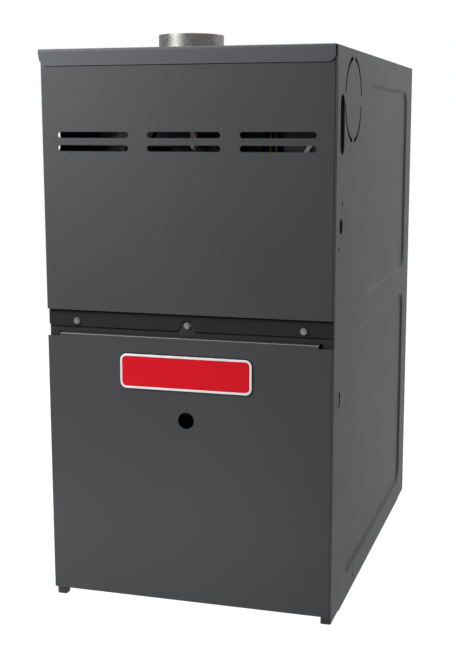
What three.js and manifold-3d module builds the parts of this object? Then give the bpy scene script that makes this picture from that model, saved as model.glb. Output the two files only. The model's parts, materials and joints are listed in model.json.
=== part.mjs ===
// Forced-air gas furnace: a 17 1/2 inch upflow cabinet with an induced-draught burner.
// Millimetres, +Z up. The doors face -Y. The origin is the middle of the footprint, on the floor.
import * as THREE from 'three';
import { mergeVertices } from 'three/addons/utils/BufferGeometryUtils.js';
import Module from 'manifold-3d';

const wasm = await Module();
wasm.setup();

// Driving dimensions of the cabinet
const WIDTH = 445; // 17 1/2 in
const HEIGHT = 848; // 33 3/8 in
const DEPTH = 721; // 28 3/8 in, from the nose of the top lip to the back
const SHEET = 1.2; // painted casing steel
const GAP = 0.4; // between two pieces that rest on each other
const CORNER_GAP = 1; // where a panel ends in a bend of the casing
const WIRE_GAP = 1; // between the end of a wire or hose and its terminal
const SIDE = WIDTH / 2;
const BACK = DEPTH / 2;
const LIP_NOSE = -DEPTH / 2;
const DOOR_FACE = LIP_NOSE + 7.5;
const DOOR_DEPTH = 8.6; // depth of the folded door pans
const FRAME_FACE = DOOR_FACE + DOOR_DEPTH + GAP; // front face of the casing flanges
const FLANGE = 16; // width of the casing's front flanges
const RETURN = 13; // depth of the stiffening return behind them
const INSIDE = SIDE - SHEET; // half the clear width between the side walls
const FIT = INSIDE - GAP; // half width of a panel that fits between them
const FOOT = 2.5; // the corners of the wrap are cut this far above the floor

// Levels, measured from the floor
const LIP_BOTTOM = 824.2;
const UPPER_DOOR = { bottom: 463, top: 823.2 };
const LOWER_DOOR = { bottom: 17, corner: 422.1, top: 427, crest: 202 };
const DECK = 450; // underside of the shelf between the two compartments
const DECK_TOP = DECK + SHEET;
const LID = HEIGHT - SHEET; // underside of the top panel
const PAN_TOP = 14.4;

// Openings in the casing and the doors
const SLOT = { length: 111.6, height: 9, columns: [-141, -0.4, 140], rows: [705, 724.3] };
const SIGHT_HOLE = { z: 302.5, radius: 12.5 };
const VENT_KNOCKOUT = { y: -226.3, z: 775.3, radius: 60.2, slit: 4.4, tab: 15 };
const GAS_SLOT = { y: -305, z: 739, width: 28.4, height: 85 };
const CONDUIT = { y: -307, z: 594.2, radius: 11.1 };
const LOW_VOLTAGE = { y: -310, z: 338, radius: 11, front: 1.2, rear: 4.5 }; // and its slits
const SCREW_HOLES = [[-299, 626.5, 3], [-318.5, 562.8, 3], [-172, 16, 3.5]];
const PRESSED = { depth: 4, radius: 28, rear: 299, upper: [467, 802], lower: [40, 420.5] };
const NAME_PLATE = { x: 0, z: 374.2, width: 206.4, height: 52.8, radius: 10, rim: 3.5 };

// Vent, burner and heat exchanger
const FLUE = { x: -30, y: -226, radius: 49.6, top: 873, neck: 29.4 };
const VESTIBULE = -140; // front face of the panel that carries the heat exchanger
const TUBE = {
  columns: [-135, -45, 45, 135], radius: 22.25, wall: 1.2, first: 505, pitch: 80, mouth: 60,
};
const TUBE_BENDS = { front: -75, rear: 285 };
const BURNER_BOX = { front: -185, bottom: 476, top: 548.5, half: 185 };
const BURNER = { mouth: -262, face: -165, head: 19, throat: 10, wall: 1 };
const MANIFOLD = { y: -290, radius: 10.7, bend: 30, riser: 175, left: -150 };
const VALVE = { left: 140, right: 204, front: -325, rear: -270, bottom: 690, top: 770 };
const KNOB = { x: 172, z: 742, radius: 14, grip: 10.5, depth: 14 };
const LIMIT = { x: 30, z: 625 };
const PRESSURE = { x: -150, z: 640, radius: 28 };
const COLLECTOR = { front: -194.6, bottom: 705, top: 790, half: 168 };
const INDUCER = { x: 25.5, y: -226.2, z: 735, half: 30.8, wall: 1.5 };
const INDUCER_SPIRAL = { start: 63, growth: 0.0684, from: 100, to: -180 };

// Circulating blower
const BLOWER = { x: 0, y: 20, z: 240, half: 106.8 };
const BLOWER_SPIRAL = { start: 140, growth: 0.091, from: 120, to: 360 };
const WHEEL = { blades: 22, inner: 104, outer: 124, half: 100, ring: 126 };
const SHAFT = 6.35;
const OUTLET = { y0: -58, y1: 222, half: 104 }; // hole in the deck above the blower
const DOOR_SWITCH = { x: 150, z: 412, face: -341 };

const COLOURS = {
  painted: { color: 0x4c4e50, roughness: 0.5, metalness: 0.1 },
  wrap: { color: 0x5b5f5f, roughness: 0.55, metalness: 0.1 },
  galvanised: { color: 0xb9bcbd, roughness: 0.4, metalness: 0.8 },
  dark: { color: 0x2b2c2e, roughness: 0.6, metalness: 0.2 },
  steel: { color: 0x8d9092, roughness: 0.35, metalness: 0.9 },
  castGrey: { color: 0x77797b, roughness: 0.6, metalness: 0.5 },
  badge: { color: 0xa3211f, roughness: 0.35, metalness: 0 },
  ceramic: { color: 0xe4dfd2, roughness: 0.8, metalness: 0 },
  black: { color: 0x191a1b, roughness: 0.5, metalness: 0 },
  board: { color: 0x2f6b3c, roughness: 0.5, metalness: 0 },
  yellow: { color: 0xd8b021, roughness: 0.5, metalness: 0 },
  red: { color: 0xb3221f, roughness: 0.5, metalness: 0 },
};

const furnace = new THREE.Group();
const MERGE = 1e-4;
const degrees = THREE.MathUtils.degToRad;

// A closed geometry as a solid whose faces point outwards
function solidOf(geometry) {
  const bare = new THREE.BufferGeometry();
  bare.setAttribute('position', geometry.getAttribute('position').clone());
  if (geometry.index) bare.setIndex(geometry.index.clone());
  const merged = mergeVertices(bare, MERGE);
  const triangles = [];
  const index = merged.index.array;
  for (let i = 0; i < index.length; i += 3) {
    const [a, b, c] = [index[i], index[i + 1], index[i + 2]];
    if (a !== b && b !== c && c !== a) triangles.push(a, b, c);
  }
  const vertProperties = new Float32Array(merged.getAttribute('position').array);
  const make = (corners) => new wasm.Manifold(
    new wasm.Mesh({ numProp: 3, vertProperties, triVerts: new Uint32Array(corners) }));
  const solid = make(triangles);
  return solid.volume() < 0 ? make(triangles.reverse()) : solid;
}

function geometryOf(solid) {
  const mesh = solid.getMesh();
  const geometry = new THREE.BufferGeometry();
  geometry.setAttribute('position', new THREE.Float32BufferAttribute(mesh.vertProperties, 3));
  geometry.setIndex(new THREE.Uint32BufferAttribute(mesh.triVerts, 1));
  geometry.computeVertexNormals();
  return geometry;
}

const join = (first, ...others) => others.flat().reduce((sum, solid) => sum.add(solid), first);
const cut = (first, ...tools) => tools.flat().reduce((rest, tool) => rest.subtract(tool), first);

function part(parent, name, solid, colour, x = 0, y = 0, z = 0) {
  const mesh = new THREE.Mesh(geometryOf(solid), new THREE.MeshStandardMaterial(COLOURS[colour]));
  mesh.name = name;
  mesh.position.set(x, y, z);
  parent.add(mesh);
  return mesh;
}

function group(parent, x = 0, y = 0, z = 0) {
  const nested = new THREE.Group();
  nested.position.set(x, y, z);
  parent.add(nested);
  return nested;
}

// Outlines: lists of points in a plane
const point = (x, y) => new THREE.Vector2(x, y);

function arc(x, y, radius, from, to, steps) {
  return Array.from({ length: steps + 1 }, (_, i) => {
    const angle = degrees(from + ((to - from) * i) / steps);
    return point(x + radius * Math.cos(angle), y + radius * Math.sin(angle));
  });
}

const circle = (x, y, radius, sides, turn = 0) => (
  arc(x, y, radius, turn, turn + 360 - 360 / sides, sides - 1));

function roundedRect(x0, x1, y0, y1, radius, steps = 3) {
  const corners = [
    ...arc(x1 - radius, y0 + radius, radius, -90, 0, steps),
    ...arc(x1 - radius, y1 - radius, radius, 0, 90, steps),
    ...arc(x0 + radius, y1 - radius, radius, 90, 180, steps),
    ...arc(x0 + radius, y0 + radius, radius, 180, 270, steps),
  ];
  return corners.filter((corner, i) => corner.distanceTo(corners.at(i - 1)) > MERGE);
}

// A logarithmic spiral whose radius grows by a fixed share for each radian
function spiral({ start, growth, from, to }, offset, steps) {
  return Array.from({ length: steps + 1 }, (_, i) => {
    const turned = (Math.abs(degrees(to - from)) * i) / steps;
    const angle = degrees(from) + Math.sign(to - from) * turned;
    const radius = start * Math.exp(growth * turned) + offset;
    return point(radius * Math.cos(angle), radius * Math.sin(angle));
  });
}

function ringSector(x, y, radius, width, from, to, steps) {
  return [
    ...arc(x, y, radius + width / 2, from, to, steps),
    ...arc(x, y, radius - width / 2, to, from, steps),
  ];
}

// The section of a bent sheet: a path down the middle of the metal, rounded at its corners
function foldedSheet(path, bend = 2.2, thickness = SHEET, steps = 2) {
  const corners = path.map(([x, y]) => point(x, y));
  const near = [];
  const far = [];
  const place = (at, normal) => {
    near.push(at.clone().addScaledVector(normal, thickness / 2));
    far.unshift(at.clone().addScaledVector(normal, -thickness / 2));
  };
  const across = (from, to) => point(from.y - to.y, to.x - from.x).normalize();
  corners.forEach((corner, i) => {
    const into = i > 0 ? across(corners[i - 1], corner) : null;
    const away = i < corners.length - 1 ? across(corner, corners[i + 1]) : null;
    if (!into || !away) {
      place(corner, into ?? away);
      return;
    }
    const turn = Math.atan2(into.cross(away), into.dot(away));
    const reach = (Math.sign(turn) * bend) / Math.cos(turn / 2);
    const middle = into.clone().add(away).normalize();
    const centre = corner.clone().addScaledVector(middle, reach);
    for (let step = 0; step <= steps; step += 1) {
      const normal = into.clone().rotateAround(point(0, 0), (turn * step) / steps);
      place(centre.clone().addScaledVector(normal, -Math.sign(turn) * bend), normal);
    }
  });
  return [...near, ...far];
}

// The section of a thin sheet that follows a smooth curve given by its points
function ribbon(points, thickness = SHEET) {
  const near = [];
  const far = [];
  points.forEach((at, i) => {
    const before = points[Math.max(i - 1, 0)];
    const after = points[Math.min(i + 1, points.length - 1)];
    const into = at.clone().sub(before).normalize();
    const away = after.clone().sub(at).normalize();
    const along = into.clone().add(away).normalize();
    const straight = Math.max(into.dot(along), away.dot(along));
    const normal = point(-along.y, along.x).multiplyScalar(thickness / 2 / straight);
    near.push(at.clone().add(normal));
    far.unshift(at.clone().sub(normal));
  });
  return [...near, ...far];
}

// Solids
const BASES = {
  x: [[0, 1, 0], [0, 0, 1], [1, 0, 0]],
  y: [[1, 0, 0], [0, 0, 1], [0, -1, 0]],
  z: [[1, 0, 0], [0, 1, 0], [0, 0, 1]],
};

// An outline pushed along an axis: drawn in YZ for x, in XZ for y and in XY for z
function prism(points, axis, from, to, holes = []) {
  const shape = new THREE.Shape(points);
  shape.holes = holes.map((hole) => new THREE.Path(hole));
  const geometry = new THREE.ExtrudeGeometry(shape, { depth: to - from, bevelEnabled: false });
  const [u, v, w] = BASES[axis].map((vector) => new THREE.Vector3(...vector));
  geometry.applyMatrix4(new THREE.Matrix4().makeBasis(u, v, w));
  const start = axis === 'y' ? -to : from;
  geometry.translate(w.x * start, w.y * start, w.z * start);
  return solidOf(geometry);
}

function box(x0, x1, y0, y1, z0, z1) {
  const geometry = new THREE.BoxGeometry(x1 - x0, y1 - y0, z1 - z0);
  geometry.translate((x0 + x1) / 2, (y0 + y1) / 2, (z0 + z1) / 2);
  return solidOf(geometry);
}

// A profile of [radius, place along the axis] turned about an axis
function revolve(profile, axis, sides) {
  const closed = profile[0][0] === 0 ? profile : [...profile, profile[0]];
  const geometry = new THREE.LatheGeometry(closed.map(([r, h]) => point(r, h)), sides);
  if (axis === 'z') geometry.rotateX(Math.PI / 2);
  if (axis === 'x') geometry.rotateZ(-Math.PI / 2);
  return solidOf(geometry);
}

const rod = (axis, radius, from, to, sides) => (
  revolve([[0, from], [radius, from], [radius, to], [0, to]], axis, sides));

const pipe = (axis, inner, outer, from, to, sides) => (
  revolve([[inner, from], [outer, from], [outer, to], [inner, to]], axis, sides));

// A body between two convex rings that have the same number of points
function loft(first, last) {
  const count = first.length;
  const index = [];
  for (let i = 0; i < count; i += 1) {
    const next = (i + 1) % count;
    index.push(i, next, count + next, i, count + next, count + i);
  }
  for (let i = 1; i < count - 1; i += 1) {
    index.push(0, i + 1, i, count, count + i, count + i + 1);
  }
  const geometry = new THREE.BufferGeometry().setFromPoints([...first, ...last]);
  geometry.setIndex(index);
  return solidOf(geometry);
}

// A path that is straight between its knots, with a section of the tube at every knot
class KnotPath extends THREE.Curve {
  constructor(knots) {
    super();
    this.knots = knots;
  }

  getPoint(t, target = new THREE.Vector3()) {
    const at = t * (this.knots.length - 1);
    const i = Math.min(Math.floor(at), this.knots.length - 2);
    return target.lerpVectors(this.knots[i], this.knots[i + 1], at - i);
  }

  getUtoTmapping(u) {
    return u;
  }
}

function tube(path, steps, radius, sides, bore = 0) {
  const turn = 180 / sides;
  const section = new THREE.Shape(circle(0, 0, radius, sides, turn));
  if (bore > 0) section.holes = [new THREE.Path(circle(0, 0, bore, sides, turn))];
  return solidOf(new THREE.ExtrudeGeometry(section, { steps, extrudePath: path }));
}

const smooth = (points) => (
  new THREE.CatmullRomCurve3(points.map((at) => new THREE.Vector3(...at)), false, 'centripetal'));

const around = (axis, count, make) => Array.from({ length: count }, (_, i) => {
  const turn = axis.map((share) => (share * 360 * i) / count);
  return make(i).rotate(turn);
});

// The pressed panels: the sheet steps inwards with 45 degree walls.
// place gives the point at u, v and a depth below the outer face.
function pressPanel(wall, u0, u1, v0, v1, place) {
  const ring = (grow, depth) => (
    roundedRect(u0 - grow, u1 + grow, v0 - grow, v1 + grow, PRESSED.radius + grow, 3)
      .map(({ x, y }) => place(x, y, depth)));
  const slope = SHEET * Math.SQRT2;
  const inner = PRESSED.depth + SHEET;
  const bump = loft(ring(slope - 1, 1), ring(slope - inner, inner));
  const dent = loft(ring(1, -1), ring(-PRESSED.depth, PRESSED.depth));
  return cut(join(wall, bump), dent);
}

function pressCasing(casing) {
  const right = (u, v, depth) => new THREE.Vector3(SIDE - depth, u, v);
  const left = (u, v, depth) => new THREE.Vector3(depth - SIDE, u, v);
  const back = (u, v, depth) => new THREE.Vector3(u, BACK - depth, v);
  const { rear, upper, lower } = PRESSED;
  const panels = [
    [-100, rear, ...upper, right], [-248, rear, ...lower, right],
    [-100, rear, ...upper, left], [-248, rear, ...lower, left],
    [-150, 150, ...upper, back], [-150, 150, ...lower, back],
  ];
  return panels.reduce((wall, panel) => pressPanel(wall, ...panel), casing);
}

// The round knock-out stays in the wall on four tabs between its slits
function ventKnockout() {
  const { y, z, radius, slit, tab } = VENT_KNOCKOUT;
  const half = THREE.MathUtils.radToDeg(tab / 2 / radius);
  return [0, 90, 180, 270].map((start) => (
    ringSector(y, z, radius, slit, start + half, start + 90 - half, 4)));
}

function sideOpenings() {
  const { y, z, width, height } = GAS_SLOT;
  const gas = roundedRect(y - width / 2, y + width / 2, z - height / 2, z + height / 2, width / 2);
  const { radius, front, rear } = LOW_VOLTAGE;
  const knockout = [[-75, 75, rear], [105, 255, front]].map(([from, to, slit]) => (
    ringSector(LOW_VOLTAGE.y, LOW_VOLTAGE.z, radius, slit, from, to, 3)));
  return [
    gas,
    circle(CONDUIT.y, CONDUIT.z, CONDUIT.radius, 12),
    ...SCREW_HOLES.map(([holeY, holeZ, hole]) => circle(holeY, holeZ, hole, 6)),
    ...knockout,
    ...ventKnockout(),
  ];
}

// One sheet wraps the left side, the back and the right side
function casingWrap() {
  const side = SIDE - SHEET / 2;
  const back = BACK - SHEET / 2;
  const front = FRAME_FACE + SHEET / 2;
  const returnX = SIDE - FLANGE + SHEET / 2;
  const returnEnd = FRAME_FACE + RETURN;
  const plan = foldedSheet([
    [-returnX, returnEnd], [-returnX, front], [-side, front], [-side, back],
    [side, back], [side, front], [returnX, front], [returnX, returnEnd],
  ], 2.4);
  const footFront = -285;
  const footRear = 299;
  const footBack = 190;
  const flange = 18;
  const ductFlange = 19;
  const ductFront = -123.5;
  const sideFlange = (sign, width, y0, y1, z0) => {
    const edges = [sign * side, sign * (SIDE - width)].sort((a, b) => a - b);
    return box(...edges, y0, y1, z0, z0 + SHEET);
  };
  const flanges = [-1, 1].flatMap((sign) => [
    sideFlange(sign, flange, footFront, footRear, 0),
    sideFlange(sign, ductFlange, ductFront, back, LID),
  ]);
  const casing = join(
    prism(plan, 'z', 0, HEIGHT), flanges,
    box(-footBack, footBack, BACK - flange, back, 0, SHEET),
    box(-side, side, BACK - ductFlange, back, LID, HEIGHT));
  const corners = [-1, 1].map((sign) => {
    const edges = [sign * footBack, sign * (SIDE + 1)].sort((a, b) => a - b);
    return box(...edges, footRear, BACK + 1, -1, FOOT);
  });
  const openings = sideOpenings().map((hole) => prism(hole, 'x', -SIDE - 1, SIDE + 1));
  return cut(
    pressCasing(casing), corners, openings,
    box(-SIDE - 1, SIDE + 1, FRAME_FACE - 1, footFront, -1, FOOT),
    box(-INSIDE, INSIDE, FRAME_FACE - 1, ductFront - 2, LID - GAP, HEIGHT + 1));
}

// The top panel folds down over the upper door in a leaning lip with round corners
const LIP = { half: SIDE - 0.3, lean: 16, bend: 3, corner: 11 };

function topPanel() {
  const turn = degrees(90 + LIP.lean);
  const foldY = LIP_NOSE + LIP.bend + SHEET / 2 - LIP.bend * Math.tan(turn / 2);
  const mid = HEIGHT - SHEET / 2;
  const endY = foldY + (mid - LIP_BOTTOM) * Math.tan(degrees(LIP.lean));
  const rear = -124;
  const section = foldedSheet([[rear, mid], [foldY, mid], [endY, LIP_BOTTOM]], LIP.bend);
  const corners = [-1, 1].map((sign) => {
    const x = sign * (LIP.half - LIP.corner);
    const z = LIP_BOTTOM + LIP.corner;
    const rounding = arc(x, z, LIP.corner, sign > 0 ? 0 : 180, sign > 0 ? -90 : 270, 5);
    const waste = [...rounding, point(x, z - 20), point(sign * (SIDE + 1), z - 20),
      point(sign * (SIDE + 1), z)];
    return prism(waste, 'y', LIP_NOSE - 2, FRAME_FACE);
  });
  const trims = [[-SIDE - 1, -FIT], [FIT, SIDE + 1]].map(([x0, x1]) => (
    box(x0, x1, FRAME_FACE - GAP, rear + 1, LID - 5, HEIGHT + 1)));
  const tabs = [[-FIT, -FIT + SHEET], [FIT - SHEET, FIT]].map(([x0, x1]) => (
    box(x0, x1, -328, -145, LID - 9, HEIGHT - 0.2)));
  const flueHole = prism(circle(FLUE.x, FLUE.y, FLUE.radius + 1, 24), 'z', LID - 1, HEIGHT + 1);
  return cut(join(cut(prism(section, 'x', -LIP.half, LIP.half), trims), tabs), corners, flueHole);
}

function flueCollar() {
  const { radius, neck, top } = FLUE;
  const low = INDUCER.z + 70 + GAP;
  const rim = HEIGHT + GAP;
  return revolve([
    [neck, low], [neck + 1, low], [radius, low + 22],
    [radius, rim], [radius + 10, rim], [radius + 10, rim + 1], [radius, rim + 1],
    [radius, top], [radius - 1, top], [radius - 1, low + 22.4],
  ], 'z', 24);
}

// Doors are folded pans: a face with four flanges towards the cabinet
const doorSection = () => {
  const side = SIDE - SHEET / 2;
  const face = DOOR_FACE + SHEET / 2;
  const end = DOOR_FACE + DOOR_DEPTH;
  return foldedSheet([[-side, end], [-side, face], [side, face], [side, end]], 1.8);
};

const doorFlange = (half, bottom) => (
  box(-half, half, DOOR_FACE + SHEET / 2, DOOR_FACE + DOOR_DEPTH, bottom, bottom + SHEET));

function upperDoor() {
  const earTop = 831.5;
  const clear = LIP.corner + 1;
  const x = LIP.half - LIP.corner;
  const z = LIP_BOTTOM + LIP.corner;
  const pan = prism(doorSection(), 'z', UPPER_DOOR.bottom, earTop);
  const [front, rear] = [DOOR_FACE - 1, FRAME_FACE];
  const underLip = [
    box(-x, x, front, rear, UPPER_DOOR.top, earTop + 1),
    ...[-x, x].map((at) => prism(circle(at, z, clear, 32), 'y', front, rear)),
  ];
  const slots = SLOT.columns.flatMap((column) => SLOT.rows.map((row) => {
    const [long, tall] = [SLOT.length / 2, SLOT.height / 2];
    return prism(
      roundedRect(column - long, column + long, row - tall, row + tall, tall, 3),
      'y', front, rear);
  }));
  return join(
    cut(pan, underLip, slots),
    doorFlange(SIDE - 4, UPPER_DOOR.bottom), doorFlange(x - 4, UPPER_DOOR.top - SHEET));
}

function lowerDoor() {
  const { bottom, corner, top, crest } = LOWER_DOOR;
  const face = DOOR_FACE + SHEET;
  const striker = box(143, 157, face - 0.2, DOOR_SWITCH.face - 6.5 - GAP, 406, 418);
  const pan = join(
    prism(doorSection(), 'z', bottom, corner),
    box(-crest, crest, DOOR_FACE, face, corner - 1, top),
    doorFlange(crest, top - SHEET), doorFlange(SIDE - 4, bottom), striker);
  const { z, radius } = SIGHT_HOLE;
  return cut(pan, prism(circle(0, z, radius, 20), 'y', DOOR_FACE - 1, face + 1));
}

// A bare badge plate with a raised rim
function namePlate() {
  const { x, z, width, height, radius, rim } = NAME_PLATE;
  const outer = (inset) => roundedRect(
    x - width / 2 + inset, x + width / 2 - inset,
    z - height / 2 + inset, z + height / 2 - inset, radius - inset, 4);
  const back = DOOR_FACE - 0.3;
  return cut(prism(outer(0), 'y', back - 2.6, back), prism(outer(rim), 'y', back - 3, back - 1.8));
}

// Rail across the front between the doors, over the folded edge of the deck
const RAIL = { face: FRAME_FACE - 2 * GAP - 2 * SHEET, bottom: 437.5, top: 461.8 };
const DECK_SCREWS = { z: 445.8, left: -175.4, middle: 0.7, right: 178.3, hole: 2.4 };

const screwHole = (x) => (
  prism(circle(x, DECK_SCREWS.z, DECK_SCREWS.hole, 8), 'y', RAIL.face - 1, FRAME_FACE + 1));

function deckRail() {
  const mid = RAIL.face + SHEET / 2;
  const half = SIDE - 0.8;
  const section = foldedSheet([
    [mid, RAIL.bottom], [mid, RAIL.top - SHEET / 2], [-335, RAIL.top - SHEET / 2]]);
  const notch = [point(-13.5, 437), point(12.5, 437), point(7.8, 452.2), point(-7, 452.2)];
  const trims = [[-half - 1, -204.5], [204.5, half + 1]].map(([x0, x1]) => (
    box(x0, x1, FRAME_FACE - GAP, -330, RAIL.bottom, RAIL.top + 1)));
  const corner = 4;
  const corners = [-1, 1].map((sign) => {
    const x = sign * (half - corner);
    const z = RAIL.bottom + corner;
    const rounding = arc(x, z, corner, sign > 0 ? 0 : 180, sign > 0 ? -90 : 270, 3);
    const waste = [...rounding, point(x, z - 9), point(sign * SIDE, z - 9), point(sign * SIDE, z)];
    return prism(waste, 'y', RAIL.face - 1, FRAME_FACE);
  });
  return cut(
    prism(section, 'x', -half, half), trims, corners,
    prism(notch, 'y', RAIL.face - 1, FRAME_FACE),
    screwHole(DECK_SCREWS.left), screwHole(DECK_SCREWS.right));
}

// Shelf between the burner compartment and the blower compartment
const GROMMET = { x: -185, y: -250, radius: 13 };

function blowerDeck() {
  const mid = DECK + SHEET / 2;
  const front = FRAME_FACE - GAP - SHEET / 2;
  const [ears, edge] = [418, 428.6]; // how far the front strip hangs down, at its ends and between
  const section = foldedSheet([[BACK - SHEET - CORNER_GAP, mid], [front, mid], [front, ears]]);
  const between = box(-206, 206, front - SHEET, front + SHEET, ears - 1, edge);
  const trims = [[-FIT - 1, -204.5], [204.5, FIT + 1]].map(([x0, x1]) => (
    box(x0, x1, FRAME_FACE - GAP, FRAME_FACE + RETURN + 1, 440, DECK_TOP + 1)));
  const opening = roundedRect(-OUTLET.half, OUTLET.half, OUTLET.y0, OUTLET.y1, 6, 2);
  const { left, middle, right } = DECK_SCREWS;
  return cut(
    prism(section, 'x', -FIT, FIT), trims, between,
    prism(opening, 'z', DECK - 1, DECK_TOP + 1),
    prism(circle(GROMMET.x, GROMMET.y, GROMMET.radius, 16), 'z', DECK - 1, DECK_TOP + 1),
    [left, middle, right].map(screwHole));
}

// Hex washer head screw, its head towards -Y and its bearing face at y = 0
function washerScrew() {
  const washer = rod('y', 5.2, -0.9, 0, 12);
  const head = rod('y', 3.7, -3.9, -0.8, 6);
  const shank = rod('y', 2, -0.2, 7, 6);
  return join(washer, head, shank);
}

function basePan() {
  const side = FIT - SHEET / 2;
  const mid = PAN_TOP - SHEET / 2;
  const low = SHEET + GAP;
  const front = FRAME_FACE + RETURN + GAP;
  const back = BACK - SHEET - CORNER_GAP;
  const section = foldedSheet([[-side, low], [-side, mid], [side, mid], [side, low]], 2);
  const lip = FRAME_FACE + SHEET + GAP;
  const tongue = foldedSheet([[front + 5, mid], [lip + SHEET / 2, mid], [lip + SHEET / 2, 37]]);
  const slit = 3;
  const knockout = { x: 150, y0: -180, y1: 240, tab: 14 };
  const { x, y0, y1, tab } = knockout;
  const slits = [
    box(-x + tab, x - tab, y0, y0 + slit, mid - 3, mid + 3),
    box(-x + tab, x - tab, y1 - slit, y1, mid - 3, mid + 3),
    box(-x, -x + slit, y0 + tab, y1 - tab, mid - 3, mid + 3),
    box(x - slit, x, y0 + tab, y1 - tab, mid - 3, mid + 3),
  ];
  return cut(join(
    prism(section, 'y', front, back),
    box(-side, side, back - SHEET, back, low, PAN_TOP - 2),
    prism(tongue, 'x', -204, 204)), slits);
}

function vestibulePanel() {
  const mid = VESTIBULE + SHEET / 2;
  const low = DECK_TOP + GAP + SHEET / 2;
  const high = LID - GAP - SHEET / 2;
  const flangeEnd = -126.5;
  const section = foldedSheet([[flangeEnd, low], [mid, low], [mid, high], [flangeEnd, high]]);
  const holes = TUBE.columns.flatMap((x) => [0, 3].map((pass) => (
    circle(x, TUBE.first + pass * TUBE.pitch, TUBE.radius - 1.75, 8, 22.5))));
  return cut(
    prism(section, 'x', -FIT, FIT),
    holes.map((hole) => prism(hole, 'y', VESTIBULE - 1, VESTIBULE + 3)));
}

// A tube of the heat exchanger: four passes joined by three U bends, drawn at x = 0.
// It is open at its two mouths and solid further in.
function exchangerTube() {
  const start = VESTIBULE + SHEET + GAP;
  const turn = TUBE.pitch / 2;
  const knots = [[start, TUBE.first]];
  const bend = (y, pass, direction) => {
    const z = TUBE.first + pass * TUBE.pitch + turn;
    arc(y, z, turn, -90, -90 + direction * 180, 4).forEach((at) => knots.push([at.x, at.y]));
  };
  bend(TUBE_BENDS.rear, 0, 1);
  bend(TUBE_BENDS.front, 1, -1);
  bend(TUBE_BENDS.rear, 2, 1);
  knots.push([start, TUBE.first + 3 * TUBE.pitch]);
  const path = new KnotPath(knots.map(([y, z]) => new THREE.Vector3(0, y, z)));
  const mouths = [0, 3].map((pass) => {
    const bore = circle(0, TUBE.first + pass * TUBE.pitch, TUBE.radius - TUBE.wall, 8, 22.5);
    return prism(bore, 'y', start - 1, start + TUBE.mouth);
  });
  return cut(tube(path, knots.length - 1, TUBE.radius, 8), mouths);
}

// Rack that holds the tubes near their rear bends and stands on the deck.
// Each of its slots takes two passes of a tube.
function tubeSupport() {
  const y = 246;
  const low = DECK_TOP + GAP;
  const top = 790;
  const half = 172;
  const reach = (TUBE.radius + GAP) / Math.cos(degrees(22.5));
  const slots = TUBE.columns.flatMap((x) => [0, 2].map((pass) => {
    const z = TUBE.first + pass * TUBE.pitch;
    return roundedRect(x - reach, x + reach, z - reach, z + TUBE.pitch + reach, reach, 2);
  }));
  return join(
    prism(roundedRect(-half, half, low, top, 8, 2), 'y', y, y + 1.6, slots),
    box(-half + 10, half - 10, y, y + 24, low, low + 1.6));
}

function collectorBox() {
  const { front, bottom, top, half } = COLLECTOR;
  const rear = VESTIBULE - GAP;
  const wall = 1.2;
  const flange = 9;
  return cut(
    join(
      box(-half, half, front, rear, bottom, top),
      box(-half - flange, half + flange, rear - wall, rear, bottom - flange, top + flange)),
    box(-half + wall, half - wall, front + wall, rear + 1, bottom + wall, top - wall),
    prism(circle(INDUCER.x, INDUCER.z, 30, 20), 'y', front - 1, front + 3));
}

// Inducer, drawn about its shaft. Its volute opens upwards on the left.
function inducerOutline(offset) {
  const turns = spiral(INDUCER_SPIRAL, offset, 14);
  const left = turns.at(-1).x;
  const top = 70 + Math.min(offset, 0);
  return [...turns, point(left, top), point(-10.9 + offset, top)];
}

function inducerHousing() {
  const { half, wall } = INDUCER;
  const outlet = prism(circle(FLUE.x - INDUCER.x, 0.2, FLUE.neck - 1, 16), 'z', 60, 75);
  return cut(
    join(
      prism(inducerOutline(0), 'y', -half, half),
      prism(inducerOutline(6), 'y', -1.2, 1.2)),
    prism(inducerOutline(-wall), 'y', wall - half, half - wall),
    prism(circle(0, 0, 30, 16), 'y', half - 4, half + 1),
    prism(circle(0, 0, 7, 8), 'y', -half - 1, 4 - half),
    outlet);
}

function inducerWheel() {
  const blade = () => {
    const curve = [point(17, 0), point(56, 15)];
    return prism(ribbon(curve, 1.4), 'y', -26, 13);
  };
  const disc = rod('y', 57, -26.8, -25.3, 18);
  const hub = rod('y', 9, -26.8, -5, 8);
  const ring = pipe('y', 48, 57.5, 12, 13.5, 18);
  const bore = rod('y', 4.5, -30, 20, 8);
  return cut(join(disc, hub, ring, around([0, 1, 0], 8, blade)), bore);
}

function inducerMotor() {
  const [front, rear] = [-76.8, -52.8];
  const stack = prism(roundedRect(-32, 32, -32, 32, 5, 2), 'y', front, rear);
  const bells = revolve([
    [0, front - 9], [14, front - 9], [22, front - 5], [24, front],
    [24, rear], [22, rear + 6], [14, rear + 8], [0, rear + 8]], 'y', 12);
  const coil = prism(roundedRect(-24, 24, -48, -24, 6, 2), 'y', front - 6, rear + 6);
  const posts = [[-26, -26], [26, -26], [-26, 26], [26, 26]].map(([x, z]) => (
    rod('y', 3, rear - 1, -INDUCER.half - GAP, 6).translate([x, 0, z])));
  return cut(join(stack, bells, coil, posts), rod('y', 4.5, -100, 0, 8));
}

function coolingFan() {
  const blade = () => {
    const vane = box(-8, 8, -0.6, 0.6, 6, 34);
    return vane.rotate([0, 0, 32]).translate([0, -93.6, 0]);
  };
  const hub = rod('y', 8.5, -98.8, -88.4, 8);
  return cut(join(hub, around([0, 1, 0], 5, blade)), rod('y', 4.5, -110, -80, 8));
}

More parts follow.
